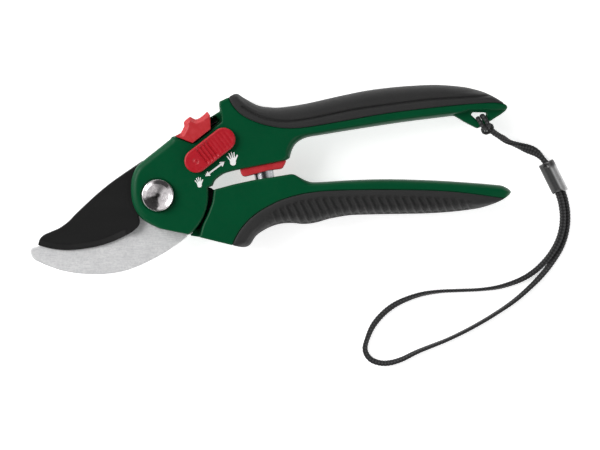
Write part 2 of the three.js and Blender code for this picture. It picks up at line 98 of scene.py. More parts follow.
# ---------------------------------------------------------------- lines and distances
def spline(points, per_span=SPAN_POINTS):
    """Catmull-Rom curve through the points."""
    p = np.array(points, float)
    ends = np.vstack([p[:1], p, p[-1:]])
    t = np.linspace(0, 1, per_span, endpoint=False)[:, None]
    pieces = []
    for a, b, c, d in zip(ends[:-3], ends[1:-2], ends[2:-1], ends[3:]):
        v0, v1 = (c - a) / 2, (d - b) / 2
        pieces.append((2 * b - 2 * c + v0 + v1) * t**3 + (3 * c - 3 * b - 2 * v0 - v1) * t**2 + v0 * t + b)
    return np.vstack([*pieces, p[-1:]])


def resample(points, step):
    """The same line with points at even steps along it."""
    p = np.asarray(points, float)
    along = np.concatenate([[0], np.cumsum(np.linalg.norm(np.diff(p, axis=0), axis=1))])
    at = np.linspace(0, along[-1], max(2, round(along[-1] / step) + 1))
    return np.column_stack([np.interp(at, along, p[:, k]) for k in range(p.shape[1])]), at


def arc(centre, radius, start, stop, steps=24):
    a = np.radians(np.linspace(start, stop, steps + 1))
    return np.column_stack([centre[0] + radius * np.cos(a), centre[1] + radius * np.sin(a)])


def joined(*lines):
    return np.vstack([np.atleast_2d(np.array(line, float)) for line in lines])


def on_slide(along, across):
    """A point given along and across the sliders' direction, measured from the pivot."""
    c, s = math.cos(SLIDE_ANGLE), math.sin(SLIDE_ANGLE)
    return [PIVOT[0] + along * c - across * s, PIVOT[1] + along * s + across * c]


def slide_box(along, across):
    corners = [(along[0], across[0]), (along[1], across[0]), (along[1], across[1]), (along[0], across[1])]
    return np.array([on_slide(*corner) for corner in corners])


def segments_of(line, closed):
    p = np.asarray(line, float)
    q = np.roll(p, -1, axis=0)
    return zip(p, q) if closed else zip(p[:-1], q[:-1])


def squared_to_segment(x, y, a, b):
    ex, ey = b - a
    t = np.clip(((x - a[0]) * ex + (y - a[1]) * ey) / max(ex * ex + ey * ey, 1e-12), 0, 1)
    return (x - a[0] - t * ex) ** 2 + (y - a[1] - t * ey) ** 2


def from_line(x, y, line):
    """Distance to an open line."""
    best = np.full(np.broadcast(x, y).shape, 1e9)
    for a, b in segments_of(line, False):
        best = np.minimum(best, squared_to_segment(x, y, a, b))
    return np.sqrt(best)


def from_outline(x, y, line):
    """Distance to a closed outline, negative inside."""
    best = np.full(np.broadcast(x, y).shape, 1e9)
    inside = np.zeros(best.shape, bool)
    for a, b in segments_of(line, True):
        best = np.minimum(best, squared_to_segment(x, y, a, b))
        rise = b[1] - a[1]
        if abs(rise) > 1e-12:
            inside ^= ((a[1] > y) != (b[1] > y)) & (x < (b[0] - a[0]) * (y - a[1]) / rise + a[0])
    return np.where(inside, -1, 1) * np.sqrt(best)


def from_circle(x, y, centre, radius):
    return np.hypot(x - centre[0], y - centre[1]) - radius


def smoothstep(low, high, value):
    t = np.clip((value - low) / (high - low), 0, 1)
    return t * t * (3 - 2 * t)


def ramp(near, far, low, high, value):
    """near where value is under low, far where it is over high."""
    return near + (far - near) * smoothstep(low, high, value)


# ---------------------------------------------------------------- solids as distance fields
def slab(d, z, z_range, radius, depth=None, thinner=0.0):
    """An outline's distance field raised to a solid whose edges are rounded: radius seen from above,
    depth seen from the side. thinner is taken off both faces."""
    depth = radius if depth is None else depth
    centre, half = sum(z_range) / 2, (z_range[1] - z_range[0]) / 2 - thinner
    qx = d / radius + 1
    qz = (np.abs(z - centre) - half) / depth + 1
    unit = np.minimum(np.maximum(qx, qz), 0) + np.hypot(np.maximum(qx, 0), np.maximum(qz, 0)) - 1
    return unit * np.minimum(radius, depth)


def prism(d, z, z_range):
    """An outline's distance field between two levels, with sharp edges."""
    return np.maximum(d, np.abs(z - sum(z_range) / 2) - (z_range[1] - z_range[0]) / 2)


def box_field(x, y, z, x_range, y_range, z_range):
    across = np.abs(x - sum(x_range) / 2) - (x_range[1] - x_range[0]) / 2
    return prism(prism(across, y, y_range), z, z_range)


def tail_taper(x, start, stop, amount):
    """How much thinner each face is towards a handle's end, as a quarter of an ellipse."""
    t = np.clip((x - start) / (stop - start), 0, 1)
    return amount * (1 - np.sqrt(1 - t * t * 0.98))


def join(a, b, soft=0.3):
    """Both solids, with a fillet of about soft between them."""
    h = np.clip(0.5 + 0.5 * (b - a) / soft, 0, 1)
    return b + (a - b) * h - soft * h * (1 - h)


def cut(a, b, soft=0.3):
    """Solid a without solid b, the new edges eased by about soft."""
    return -join(-a, b, soft)


def spring_bar(x, y, z, radius, low, high):
    """A round bar on the spring's axis between two heights along it."""
    ax, ay = math.cos(SPRING_ANGLE), math.sin(SPRING_ANGLE)
    along = (x - SPRING_FOOT[0]) * ax + (y - SPRING_FOOT[1]) * ay
    across = (y - SPRING_FOOT[1]) * ax - (x - SPRING_FOOT[0]) * ay
    return prism(np.hypot(across, z - MID_Z) - radius, along, (low, high))


def ticks(*stretches):
    """Grid lines from stretches of (start, stop, step); a stretch starts where the one before it stops."""
    lines = [np.linspace(a, b, round((b - a) / step), endpoint=False) for a, b, step in stretches]
    return np.concatenate([*lines, [stretches[-1][1]]])


def plate_ticks(z_range, fine, coarse, rim):
    """Grid lines across a plate: fine near its two faces, coarse inside."""
    low, high = z_range
    over = 2 * fine
    return ticks(
        (low - over, low + rim, fine), (low + rim, high - rim, coarse), (high - rim, high + over, fine),
    )


def surface_net(field, xs, ys, zs):
    """The field's zero surface in four-sided faces, with one vertex in each grid cell that it crosses."""
    inside = field < 0
    corner = [(i, j, k) for i in (0, 1) for j in (0, 1) for k in (0, 1)]
    cells = tuple(n - 1 for n in field.shape)
    count = sum(
        inside[i:i + cells[0], j:j + cells[1], k:k + cells[2]].astype(np.int8) for i, j, k in corner
    )
    cell = np.argwhere((count > 0) & (count < 8))
    number = np.full(cells, -1, np.int64)
    number[tuple(cell.T)] = np.arange(len(cell))
    lines = (xs, ys, zs)
    total, hits = np.zeros((len(cell), 3)), np.zeros(len(cell))
    for axis in range(3):
        for offset in corner:
            if offset[axis]:
                continue
            a = cell + offset
            b = a.copy()
            b[:, axis] += 1
            fa, fb = field[tuple(a.T)], field[tuple(b.T)]
            crossed = (fa < 0) != (fb < 0)
            t = np.where(crossed, fa / np.where(crossed, fa - fb, 1), 0)
            for k in range(3):
                pa, pb = lines[k][a[:, k]], lines[k][b[:, k]]
                total[:, k] += crossed * (pa + (pb - pa) * t)
            hits += crossed
    faces = []
    for axis in range(3):
        u, v = (axis + 1) % 3, (axis + 2) % 3
        before = [slice(None)] * 3
        after = [slice(None)] * 3
        before[axis], after[axis] = slice(None, -1), slice(1, None)
        changed = inside[tuple(before)] != inside[tuple(after)]
        edge = np.argwhere(changed)
        keep = (edge[:, u] > 0) & (edge[:, v] > 0)
        keep &= (edge[:, u] < field.shape[u] - 1) & (edge[:, v] < field.shape[v] - 1)
        edge = edge[keep]
        ring = []
        for du, dv in ((1, 1), (0, 1), (0, 0), (1, 0)):
            at = edge.copy()
            at[:, u] -= du
            at[:, v] -= dv
            ring.append(number[tuple(at.T)])
        quad = np.column_stack(ring)
        outward = inside[tuple(edge.T)]
        faces.append(np.where(outward[:, None], quad, quad[:, ::-1]))
    return total / hits[:, None], np.vstack(faces)


# ---------------------------------------------------------------- pieces
def mesh_object(name, verts, faces, material, body):
    """A smooth piece from points in millimetres."""
    mesh = bpy.data.meshes.new(name)
    mesh.from_pydata((np.asarray(verts) * MM).tolist(), [], [list(map(int, f)) for f in faces])
    mesh.update()
    mesh.shade_smooth()
    piece = bpy.data.objects.new(name, mesh)
    bpy.context.collection.objects.link(piece)
    mesh.materials.append(material)
    if body:
        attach(piece, body)
    return piece


def vertices_of(piece):
    """A piece's vertices in millimetres."""
    flat = np.empty(len(piece.data.vertices) * 3, np.float32)
    piece.data.vertices.foreach_get("co", flat)
    return flat.reshape(-1, 3) / MM


def paint_values(piece, name, values):
    """A number at each vertex, for the piece's material to read."""
    layer = piece.data.attributes.new(name, "FLOAT", "POINT")
    layer.data.foreach_set("value", np.asarray(values, np.float32))


def skin(name, shape, xs, ys, zs, material, body, place=None):
    """The surface of shape(x, y, z). place turns the grid's own x and y into the row frame's."""
    field = shape(xs[:, None, None], ys[None, :, None], zs[None, None, :])
    verts, faces = surface_net(field, xs, ys, zs)
    if place is not None:
        verts = place(verts)
    return mesh_object(name, verts, faces, material, body)


def turned(name, profile, centre, material, body):
    """A turned piece on a vertical axis; profile is (radius, z) points from axis to axis."""
    sides = 96
    verts, rings = [], []
    for r, z in profile:
        if r < 1e-6:
            rings.append([len(verts)])
            verts.append((centre[0], centre[1], z))
            continue
        rings.append(list(range(len(verts), len(verts) + sides)))
        for i in range(sides):
            a = 2 * math.pi * i / sides
            verts.append((centre[0] + r * math.cos(a), centre[1] + r * math.sin(a), z))
    faces = []
    for low, high in zip(rings[:-1], rings[1:]):
        for i in range(sides):
            j = (i + 1) % sides
            if len(low) == 1:
                faces.append((low[0], high[j], high[i]))
            elif len(high) == 1:
                faces.append((low[i], low[j], high[0]))
            else:
                faces.append((low[i], low[j], high[j], high[i]))
    return mesh_object(name, verts, faces, material, body)


def sharpen(piece):
    """Shades a piece smooth except across its real edges."""
    piece.data.set_sharp_from_angle(angle=math.radians(35))


# ---------------------------------------------------------------- materials
def linear(red, green, blue):
    """A screen colour, 0 to 255, as scene-linear numbers."""
    return [((c / 255 + 0.055) / 1.055) ** 2.4 if c > 10 else c / 255 / 12.92 for c in (red, green, blue)]


class Finish:
    """A material with helpers that add procedural detail to its Principled shader."""

    def __init__(self, name, colour, roughness, metallic=0.0, specular=0.5):
        self.material = bpy.data.materials.new(name)
        self.material.use_nodes = True
        self.tree = self.material.node_tree
        self.shader = self.tree.nodes["Principled BSDF"]
        self.shader.inputs["Base Color"].default_value = (*linear(*colour), 1)
        self.shader.inputs["Roughness"].default_value = roughness
        self.shader.inputs["Metallic"].default_value = metallic
        self.shader.inputs["Specular IOR Level"].default_value = specular
        self.place = self.tree.nodes.new("ShaderNodeTexCoord").outputs["Object"]
        self.height = None

    def link(self, source, target):
        self.tree.links.new(source, target)

    def noise(self, size, detail=3.0, stretch=(1, 1, 1), turn=0.0):
        """Noise whose grains are about size millimetres, drawn out by stretch."""
        mapping = self.tree.nodes.new("ShaderNodeMapping")
        mapping.inputs["Scale"].default_value = [1 / s for s in stretch]
        mapping.inputs["Rotation"].default_value = (0, 0, turn)
        self.link(self.place, mapping.inputs["Vector"])
        node = self.tree.nodes.new("ShaderNodeTexNoise")
        node.inputs["Scale"].default_value = 1 / (size * MM)
        node.inputs["Detail"].default_value = detail
        node.inputs["Roughness"].default_value = 0.55
        self.link(mapping.outputs["Vector"], node.inputs["Vector"])
        return node.outputs["Fac"]

    def value(self, name):
        """The numbers that paint_values() left on the piece."""
        node = self.tree.nodes.new("ShaderNodeAttribute")
        node.attribute_name = name
        return node.outputs["Fac"]

    def map(self, source, low, high, to_low, to_high):
        """Carries low to high over to to_low to to_high."""
        node = self.tree.nodes.new("ShaderNodeMapRange")
        node.inputs["From Min"].default_value = low
        node.inputs["From Max"].default_value = high
        node.inputs["To Min"].default_value = to_low
        node.inputs["To Max"].default_value = to_high
        self.link(source, node.inputs["Value"])
        return node.outputs["Result"]

    def tint(self, amount, colour):
        """Mixes another colour over what the base colour is so far."""
        node = self.tree.nodes.new("ShaderNodeMix")
        node.data_type = "RGBA"
        base = self.shader.inputs["Base Color"]
        if base.is_linked:
            self.link(base.links[0].from_socket, node.inputs[6])
        else:
            node.inputs[6].default_value = base.default_value
        node.inputs[7].default_value = (*linear(*colour), 1)
        self.link(amount, node.inputs[0])
        self.link(node.outputs[2], base)

    def rough(self, source, low, high):
        """Varies the roughness between two values."""
        self.link(self.map(source, 0.3, 0.7, low, high), self.shader.inputs["Roughness"])

    def bump(self, source, depth, strength=1.0):
        """Adds a bump of depth millimetres."""
        node = self.tree.nodes.new("ShaderNodeBump")
        node.inputs["Distance"].default_value = depth * MM
        node.inputs["Strength"].default_value = strength
        self.link(source, node.inputs["Height"])
        if self.height is not None:
            self.link(self.height, node.inputs["Normal"])
        self.height = node.outputs["Normal"]
        self.link(self.height, self.shader.inputs["Normal"])


def green_plastic():
    f = Finish("green_body", (0, 75, 43), 0.36)
    f.shader.inputs["IOR"].default_value = 1.24
    f.tint(f.map(f.noise(14, 2), 0.35, 0.7, 0, 0.22), (0, 62, 36))
    f.tint(f.map(f.noise(0.5, 4), 0.55, 0.8, 0, 0.14), (8, 90, 58))
    f.rough(f.noise(1.6, 4), 0.32, 0.42)
    f.bump(f.noise(0.35, 3), 0.02, 0.6)
    f.bump(f.noise(5, 2), 0.05, 0.25)
    return f.material


def rubber():
    f = Finish("soft_grip", (40, 40, 40), 0.6)
    f.shader.inputs["IOR"].default_value = 1.35
    f.tint(f.map(f.noise(9, 3), 0.35, 0.7, 0, 0.3), (48, 47, 47))
    f.tint(f.map(f.noise(0.4, 3), 0.6, 0.8, 0, 0.25), (76, 75, 75))
    f.rough(f.noise(0.9, 4), 0.55, 0.7)
    f.bump(f.noise(0.28, 2), 0.03, 0.7)
    f.shader.inputs["Sheen Weight"].default_value = 0.05
    f.shader.inputs["Sheen Roughness"].default_value = 0.5
    return f.material


def coated_steel():
    f = Finish("coated_blade", (20, 20, 20), 0.42, specular=0.25)
    f.tint(f.map(f.noise(11, 3, (3, 1, 1), -0.8), 0.4, 0.75, 0, 0.35), (31, 31, 31))
    f.tint(f.map(f.noise(0.3, 2), 0.62, 0.8, 0, 0.35), (66, 66, 66))
    f.tint(f.map(f.value("rim"), 0.55, 1.0, 0, 0.75), (150, 150, 150))
    f.rough(f.noise(0.7, 4), 0.4, 0.55)
    f.bump(f.noise(0.25, 2), 0.02, 0.6)
    return f.material


def bare_steel():
    f = Finish("bare_steel", (238, 238, 238), 0.46, metallic=0.3)
    grain = f.noise(0.3, 3, (14, 1, 1), 0.25)
    f.tint(f.map(f.noise(5, 3), 0.35, 0.7, 0, 0.6), (216, 216, 217))
    f.tint(f.map(f.noise(0.8, 4), 0.42, 0.66, 0, 0.6), (206, 206, 208))
    f.tint(f.map(grain, 0.45, 0.7, 0, 0.6), (200, 200, 203))
    f.rough(f.noise(1.4, 4, (4, 1, 1), 0.25), 0.42, 0.58)
    f.bump(grain, 0.012, 0.6)
    f.bump(f.noise(0.4, 2), 0.012, 0.5)
    return f.material


def chrome():
    f = Finish("chrome", (218, 213, 214), 0.1, metallic=1.0)
    f.tint(f.map(f.noise(1.4, 4), 0.4, 0.65, 0, 0.6), (176, 170, 174))
    f.rough(f.noise(0.8, 5), 0.07, 0.17)
    f.bump(f.noise(1.1, 3), 0.05, 0.5)
    return f.material


def metal(name, colour, roughness, size, stretch=(1, 1, 1), turn=0.0):
    """Plated or plain metal with a drawn grain and slight stains."""
    f = Finish(name, colour, roughness, metallic=1.0)
    grain = f.noise(size, 4, stretch, turn)
    darker = tuple(int(c * 0.78) for c in colour)
    f.tint(f.map(grain, 0.45, 0.75, 0, 0.5), darker)
    f.tint(f.map(f.noise(2.4, 4), 0.5, 0.75, 0, 0.3), darker)
    f.rough(grain, roughness * 0.85, roughness * 1.3)
    f.bump(grain, 0.01, 0.6)
    return f.material


def crimp_metal():
    """Dark plating, with a painted highlight that brightens one lobe."""
    f = Finish("crimp_metal", (96, 96, 96), 0.38, metallic=0.7)
    grain = f.noise(0.22, 4, (9, 1, 1), 1.11)
    f.tint(f.map(grain, 0.4, 0.7, 0, 0.5), (70, 70, 70))
    # Painted highlight: the right lobe is painted bright.
    f.tint(f.value("painted_highlight"), (192, 192, 192))
    f.tint(f.map(f.noise(0.3, 4, (6, 1, 1), 0.4), 0.5, 0.75, 0, 0.5), (84, 84, 84))
    f.rough(grain, 0.32, 0.46)
    f.bump(grain, 0.012, 0.6)
    return f.material


def red_plastic(name, colour, worn):
    """Glossy red plastic, rubbed to a paler red in places."""
    f = Finish(name, colour, 0.36, specular=0.35)
    f.tint(f.map(f.noise(2.2, 4), 0.42, 0.7, 0, 0.35), worn)
    f.tint(f.map(f.noise(0.35, 3), 0.58, 0.8, 0, 0.3), (206, 60, 70))
    f.rough(f.noise(0.8, 4), 0.3, 0.45)
    f.bump(f.noise(0.3, 3), 0.02, 0.6)
    f.shader.inputs["Subsurface Weight"].default_value = 0.06
    f.shader.inputs["Subsurface Radius"].default_value = (0.0012, 0.0004, 0.0003)
    return f.material


def braided_nylon():
    f = Finish("cord", (24, 24, 25), 0.7, specular=0.3)
    f.tint(f.map(f.value("weave"), 0.4, 0.95, 0, 1), (74, 74, 75))
    f.tint(f.map(f.noise(0.12, 2), 0.6, 0.8, 0, 0.4), (92, 92, 92))
    f.rough(f.noise(0.5, 3), 0.6, 0.8)
    f.bump(f.noise(0.1, 2), 0.03, 0.7)
    f.shader.inputs["Sheen Weight"].default_value = 0.15
    f.shader.inputs["Sheen Roughness"].default_value = 0.5
    return f.material


def white_print():
    f = Finish("white_print", (244, 244, 244), 0.6, specular=0.3)
    f.tint(f.map(f.noise(0.5, 3), 0.55, 0.8, 0, 0.3), (214, 218, 214))
    f.bump(f.noise(0.2, 2), 0.01, 0.5)
    return f.material


GREEN, RUBBER, COATED, STEEL = green_plastic(), rubber(), coated_steel(), bare_steel()
CHROME, CORD, PRINT = chrome(), braided_nylon(), white_print()
RED = red_plastic("red_plastic", (178, 22, 36), (192, 42, 54))
# The same red plastic painted paler: painted light for the lock and the spring seat.
RED_PAINTED_LIGHTER = red_plastic("red_plastic_painted_lighter", (188, 44, 50), (208, 72, 78))
ZINC = metal("zinc_steel", (186, 188, 192), 0.34, 0.4)
SPRING_STEEL = metal("spring_steel", (190, 190, 194), 0.2, 0.3, (1, 6, 1), SPRING_ANGLE - math.pi / 2)
BRONZE = metal("bronze", (172, 132, 70), 0.38, 0.4)
GUNMETAL = metal("gunmetal", (112, 112, 112), 0.36, 0.3)
CRIMPED = crimp_metal()

# ---------------------------------------------------------------- camera
VIEW_CENTRE = (12.68, -19.91, 16.5)  # the middle of the picture, on the pruner's front face
VIEW_WIDTH = 261.4
LENS, SENSOR = 300.0, 36.0
CAMERA_REACH = VIEW_WIDTH * LENS / SENSOR   # from the front face up to the camera


def add_camera():
    data = bpy.data.cameras.new("camera")
    data.lens, data.sensor_width = LENS, SENSOR
    camera = bpy.data.objects.new("camera", data)
    x, y, z = VIEW_CENTRE
    camera.location = Vector((x, y, z + CAMERA_REACH)) * MM
    bpy.context.collection.objects.link(camera)
    bpy.context.scene.camera = camera


add_camera()

# ---------------------------------------------------------------- wrist lanyard
HOLE_POINT = np.array([91.2, 27.4])                 # where the hitch passes through the lug
LUG_NORMAL = np.array([0.52, -0.85])                # square to the lug's outer edge
CRIMP_TOP = np.array([120.35, 7.7])
CRIMP_DIRECTION = np.array([0.446, -0.895])
CRIMP_LENGTH = 14.3
CRIMP_Z = 2.4
STRAP = (2.7, 1.4)                                  # width and thickness of the flat braid
NECK_STRAP = (2.3, 1.2)                             # the same braid pulled tight
STRAP_SIDES = 20
WEAVE_CELL, WEAVE_RELIEF = 1.4, 0.09
ROUTE_STEP = 0.3
NECK_ROUTE = [
    [94.9, 22.2, 12.2], [97.2, 20.4, 11.2], [100.6, 18.2, 8.0], [103.8, 16.3, 4.9], [107.2, 15.0, 2.9],
    [111.3, 13.5, 2.1], [114.8, 12.1, 2.1], [117.3, 10.2, 2.2], [119.3, 7.8, 2.3], [120.1, 6.6, 2.4],
]
LOOP_ROUTE = [
    [124.6, -4.2], [125.2, -6.1], [126.3, -9.6], [127.1, -14.5], [127.1, -18.7], [126.5, -22.6],
    [125.1, -27], [122.7, -31.5], [119.3, -36], [114.5, -40.4], [108.5, -43.9], [99.8, -46.8],
    [91, -48], [82.4, -48.4], [73.7, -48.8], [65, -50.2], [56.2, -53.5], [49.8, -57.8],
    [44.6, -63.8], [41.5, -71], [41.3, -75.2], [44, -78.7], [49.5, -80.1], [56.2, -78.7],
    [64.5, -74.8], [78, -69.4], [91.2, -62.6], [104.2, -54.3], [112.9, -46.9], [119.6, -39.7],
    [124.8, -32.3], [127.3, -27.2], [128.6, -22.4], [129.1, -18.2], [129, -13.8], [128.2, -9.2],
    [127, -5.3], [126.2, -3.6],
]
LOOP_TWIST = [                                      # share of the length, degrees turned up from lying flat
    (0, 4), (0.11, 4), (0.2, 55), (0.26, 84), (0.31, 78), (0.36, 55), (0.4, 28), (0.44, 24), (0.475, 55),
    (0.51, 36), (0.54, 40), (0.6, 64), (0.65, 74), (0.75, 70), (0.81, 50), (0.86, 20), (0.91, 4), (1, 4),
]


def lowered(points):
    """Moves points outward so that the camera sees them where they would be on the front plane."""
    p = np.array(points, float)
    growth = 1 + (VIEW_CENTRE[2] - p[:, 2:3]) / CAMERA_REACH
    p[:, :2] = VIEW_CENTRE[:2] + (p[:, :2] - VIEW_CENTRE[:2]) * growth
    return p


def section_axes(line, turn, side=None):
    """At each point of a line, the directions of a braid's width and thickness. turn is its angle from
    lying flat, or from side."""
    heading = np.gradient(line, axis=0)
    heading /= np.linalg.norm(heading, axis=1)[:, None]
    if side is None:
        side = np.cross(heading, [0, 0, 1])
    side = side / np.linalg.norm(side, axis=-1, keepdims=True) * np.ones_like(heading)
    up = np.cross(side, heading)
    turn = (np.zeros(len(line)) + turn)[:, None]
    return side * np.cos(turn) + up * np.sin(turn), up * np.cos(turn) - side * np.sin(turn)


def strap(line, along, size, turn, side=None):
    """Vertices, faces and weave heights of a flat braid along a line."""
    wide, thick = section_axes(line, turn, side)
    around = STRAP_SIDES
    angle = 2 * np.pi * np.arange(around) / around
    cx = np.sign(np.cos(angle)) * np.abs(np.cos(angle)) ** 0.7 * size[0] / 2
    cy = np.sign(np.sin(angle)) * np.abs(np.sin(angle)) ** 0.7 * size[1] / 2
    girth = np.cumsum(np.hypot(cx - np.roll(cx, 1), cy - np.roll(cy, 1)))
    repeats = max(2, round(girth[-1] / WEAVE_CELL))
    u = along[:, None] / WEAVE_CELL
    v = (girth / girth[-1] * repeats)[None, :]
    weave = 0.5 + 0.25 * (np.cos(2 * np.pi * v) - np.cos(2 * np.pi * u))
    grow = 1 + WEAVE_RELIEF * (weave - 0.5) * 2 / (size[1] / 2)
    verts = line[:, None, :] + wide[:, None, :] * (cx * grow)[..., None]
    verts += thick[:, None, :] * (cy * grow)[..., None]
    count = len(line)
    i, j = np.meshgrid(np.arange(count - 1), np.arange(around), indexing="ij")
    k = (j + 1) % around
    quads = np.stack([i * around + j, i * around + k, (i + 1) * around + k, (i + 1) * around + j], -1)
    faces = quads.reshape(-1, 4)[:, ::-1].tolist()
    faces.append(list(range(around)))
    faces.append([(count - 1) * around + j for j in range(around)][::-1])
    return verts.reshape(-1, 3), faces, weave.ravel()


def strap_piece(name, straps):
    """One piece of several lengths of braid."""
    verts, faces, weave, start = [], [], [], 0
    for v, f, w in straps:
        verts.append(v)
        faces += [[index + start for index in face] for face in f]
        weave.append(w)
        start += len(v)
    piece = mesh_object(name, np.vstack(verts), faces, CORD, "upper_arm")
    paint_values(piece, "weave", np.concatenate(weave))
    return piece


def lanyard_loop():
    route, _ = resample(lowered(spline([(x, y, 1.3) for x, y in LOOP_ROUTE])), ROUTE_STEP)
    line, along = resample(route, ROUTE_STEP)
    share = along / along[-1]
    turn = np.radians(np.interp(share, *np.transpose(LOOP_TWIST)))
    half_height = np.abs(np.sin(turn)) * STRAP[0] / 2 + np.abs(np.cos(turn)) * STRAP[1] / 2
    top_lane = 1 - smoothstep(0.09, 0.17, share)
    line[:, 2] = half_height + 0.12 + top_lane * (STRAP[1] + 0.1)
    piece = strap_piece("lanyard_loop_braid", [strap(line, along, STRAP, turn)])
    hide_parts("lanyard_loop")


def lanyard_neck(with_pieces):
    """Two strands twisted round each other, side by side where the neck lies flat."""
    line, along = resample(lowered(spline(NECK_ROUTE)), ROUTE_STEP)
    share = along / along[-1]
    flat_at, lowest = 0.7, 1.45
    turn = np.radians(180 + (share - flat_at) * np.where(share < flat_at, 360, 110))
    side, _ = section_axes(line, 0)
    _, thick = section_axes(line, turn)
    spread = np.exp(-(((share - flat_at) / 0.17) ** 2))[:, None]
    apart = thick * 0.52 * (1 - spread) - side * 0.84 * spread
    line[:, 2] = np.maximum(line[:, 2], lowest)
    strands = [strap(line + sign * apart, along, NECK_STRAP, turn) for sign in (-1, 1)]
    piece = strap_piece("lanyard_neck_braid", strands)
    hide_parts("lanyard_neck")


def lanyard_hitch():
    """A lark's head: two legs over the lug's edge and the bight that they pull through."""
    outward = np.array([*LUG_NORMAL, 0]) / np.linalg.norm(LUG_NORMAL)
    sideways = np.array([-outward[1], outward[0], 0])
    start = np.array([*HOLE_POINT, 0])
    ring = [                                        # sideways, outward and z
        (0.5, 6.4, 12.6), (0.9, 5.9, 14.4), (1.25, 4.9, 15.9), (1.3, 2.8, 16.3), (1.25, 0.8, 15.6),
        (1.1, 0.0, 13.4), (1.0, -0.05, 11), (1.0, 0.0, 8.6), (1.0, 0.6, 6.6), (1.0, 2.6, 6.05),
        (0.9, 4.6, 6.7), (0.7, 5.7, 9.0), (0.5, 6.2, 11.4),
    ]
    straps = []
    for sign in (-1, 1):
        points = [start + sideways * sign * a + outward * u + [0, 0, z] for a, u, z in ring]
        line, along = resample(spline(points), ROUTE_STEP)
        straps.append(strap(line, along, (1.7, 1.1), 0, side=sideways))
    angles = np.radians(np.linspace(0, 360, 25))
    centre = start + outward * 6.2 + [0, 0, 13.4]
    tilted = outward * 0.82 + np.array([0, 0, -0.57])
    bight = [centre + sideways * 2.35 * math.cos(a) + tilted * 1.95 * math.sin(a) for a in angles]
    line, along = resample(spline(bight), ROUTE_STEP)
    straps.append(strap(line, along, (1.5, 1.3), 0, side=np.cross(sideways, tilted)))
    piece = strap_piece("lanyard_hitch_braid", straps)
    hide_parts("lanyard_hitch")
    return piece


def lanyard_crimp():
    """A sleeve of two lobes with a mouth at each end and a dent from closing it."""
    lobe, bore, half, mouth_depth = 1.95, 1.5, 1.6, 2.2

    def two_lobes(q, z, radius, soft):
        left, right = (from_circle(q, z, (side * half, CRIMP_Z), radius) for side in (-1, 1))
        return join(left, right, soft)

    def shape(p, q, z):
        d = two_lobes(q, z, lobe, 0.9)
        ragged = 0.12 * np.sin(q * 2.6) + 0.08 * np.sin(q * 5.1 + 1)
        longer = 1.1 * smoothstep(0.4, 2.2, q)
        body = slab(d, p + (ragged - longer) * (p > CRIMP_LENGTH / 2), (0, CRIMP_LENGTH), 0.85)
        ends = np.minimum(p - mouth_depth, CRIMP_LENGTH - mouth_depth - p)
        mouths = np.maximum(two_lobes(q, z, bore, 0.4), ends)
        dent = np.sqrt((p - 1.6) ** 2 + (q + 0.5) ** 2 + (z - CRIMP_Z - 2.4) ** 2) - 1.3
        return cut(cut(body, mouths, 0.15), dent)

    across = np.array([-CRIMP_DIRECTION[1], CRIMP_DIRECTION[0]])

    def place(v):
        flat = CRIMP_TOP + v[:, :1] * CRIMP_DIRECTION + v[:, 1:2] * across
        return np.column_stack([flat, v[:, 2]])

    step = 0.2
    piece = skin(
        "lanyard_crimp_sleeve", shape, ticks((-0.6, CRIMP_LENGTH + 1.6, step)), ticks((-4.2, 4.2, step)),
        ticks((0, 4.8, step)), CRIMPED, "upper_arm", place,
    )
    # Paints the highlight on the right lobe, away from the sleeve's top end.
    v = vertices_of(piece)[:, :2] - CRIMP_TOP
    down, right = v @ CRIMP_DIRECTION, v @ across
    paint_values(piece, "painted_highlight", smoothstep(0.3, 1.3, right) * smoothstep(2.0, 4.2, down))
    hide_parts("lanyard_crimp")
    return piece


lanyard_neck([lanyard_crimp(), lanyard_hitch()])
lanyard_loop()

# ---------------------------------------------------------------- outlines
UPPER_BORDER = spline([
    [-18.3, 35.8], [-16.8, 32.4], [-13.2, 28.5], [-8.3, 25.7], [-2.1, 23.6], [6, 22.3],
    [14.9, 22.7], [30, 25.2], [48.6, 28.5], [64.5, 30.6], [81.3, 32.4], [92, 33.2], [98, 33.4],
    [102.2, 32.7],
])
UPPER_BACK = spline([
    [-18.3, 35.8], [-15, 37.4], [-11.3, 35.3], [-5.8, 32.4], [-0.6, 31.5], [4.6, 31.5], [15.1, 33.1],
    [30.8, 36.6], [41.2, 38.7], [51.7, 40.1], [62.1, 40.95], [72.6, 41.3], [83, 40.5], [88.3, 39.5],
    [93.5, 37.9], [98.7, 35.1], [102.2, 32.7],
])
PALM_CURVE = spline([[8.2, 9.3], [8.6, 11], [9.8, 14.1], [11.9, 16.5], [15.6, 18.3], [21.1, 19.3]])
UPPER_REAR = spline([[30.2, 20.8], [54.7, 24.6], [79.9, 27.8]])
UNDERSIDE = joined(
    spline([[-25.5, -2.7], [-24.4, -0.4], [-22.2, 1.5], [-19.6, 2.9], [-15, 4.1]]),
    [6.4, 8.3], PALM_CURVE, UPPER_REAR,
)
UPPER_ROUNDED = joined(PALM_CURVE[2 * SPAN_POINTS:], UPPER_REAR)   # where the upper bar is well rounded
LUG = [
    [84, 25.3], [89, 22.7], [90.1, 22.3], [91.2, 22.7], [96, 25.6], [100.7, 28.6],
    [102.6, 30.2], [103.2, 31.4], [102.7, 32.4],
]
HEAD_FRONT = joined(
    spline([[-42.6, 18.9], [-43.2, 18.5], [-43.9, 17.5]], 4),
    spline([[-55.6, 8.2], [-58.5, 5.5], [-60.4, 1.3], [-61, -3.4], [-60.7, -8.3], [-59.6, -12.2],
            [-57.6, -15.6], [-55.5, -17.9]]),
)
HEAD_BOTTOM = spline([[-51.9, -20], [-48.1, -21.5], [-42.5, -22.7], [-36.4, -24]])
LOWER_BORDER = spline([
    [-16.6, -28.8], [-15.5, -26], [-12.9, -21.7], [-9, -17.3], [-4.6, -13.9], [0.4, -11.1],
    [6, -8.6], [16, -6.1], [30, -4.9], [57.9, -4.7], [80.1, -5.6], [101.9, -8.4],
])
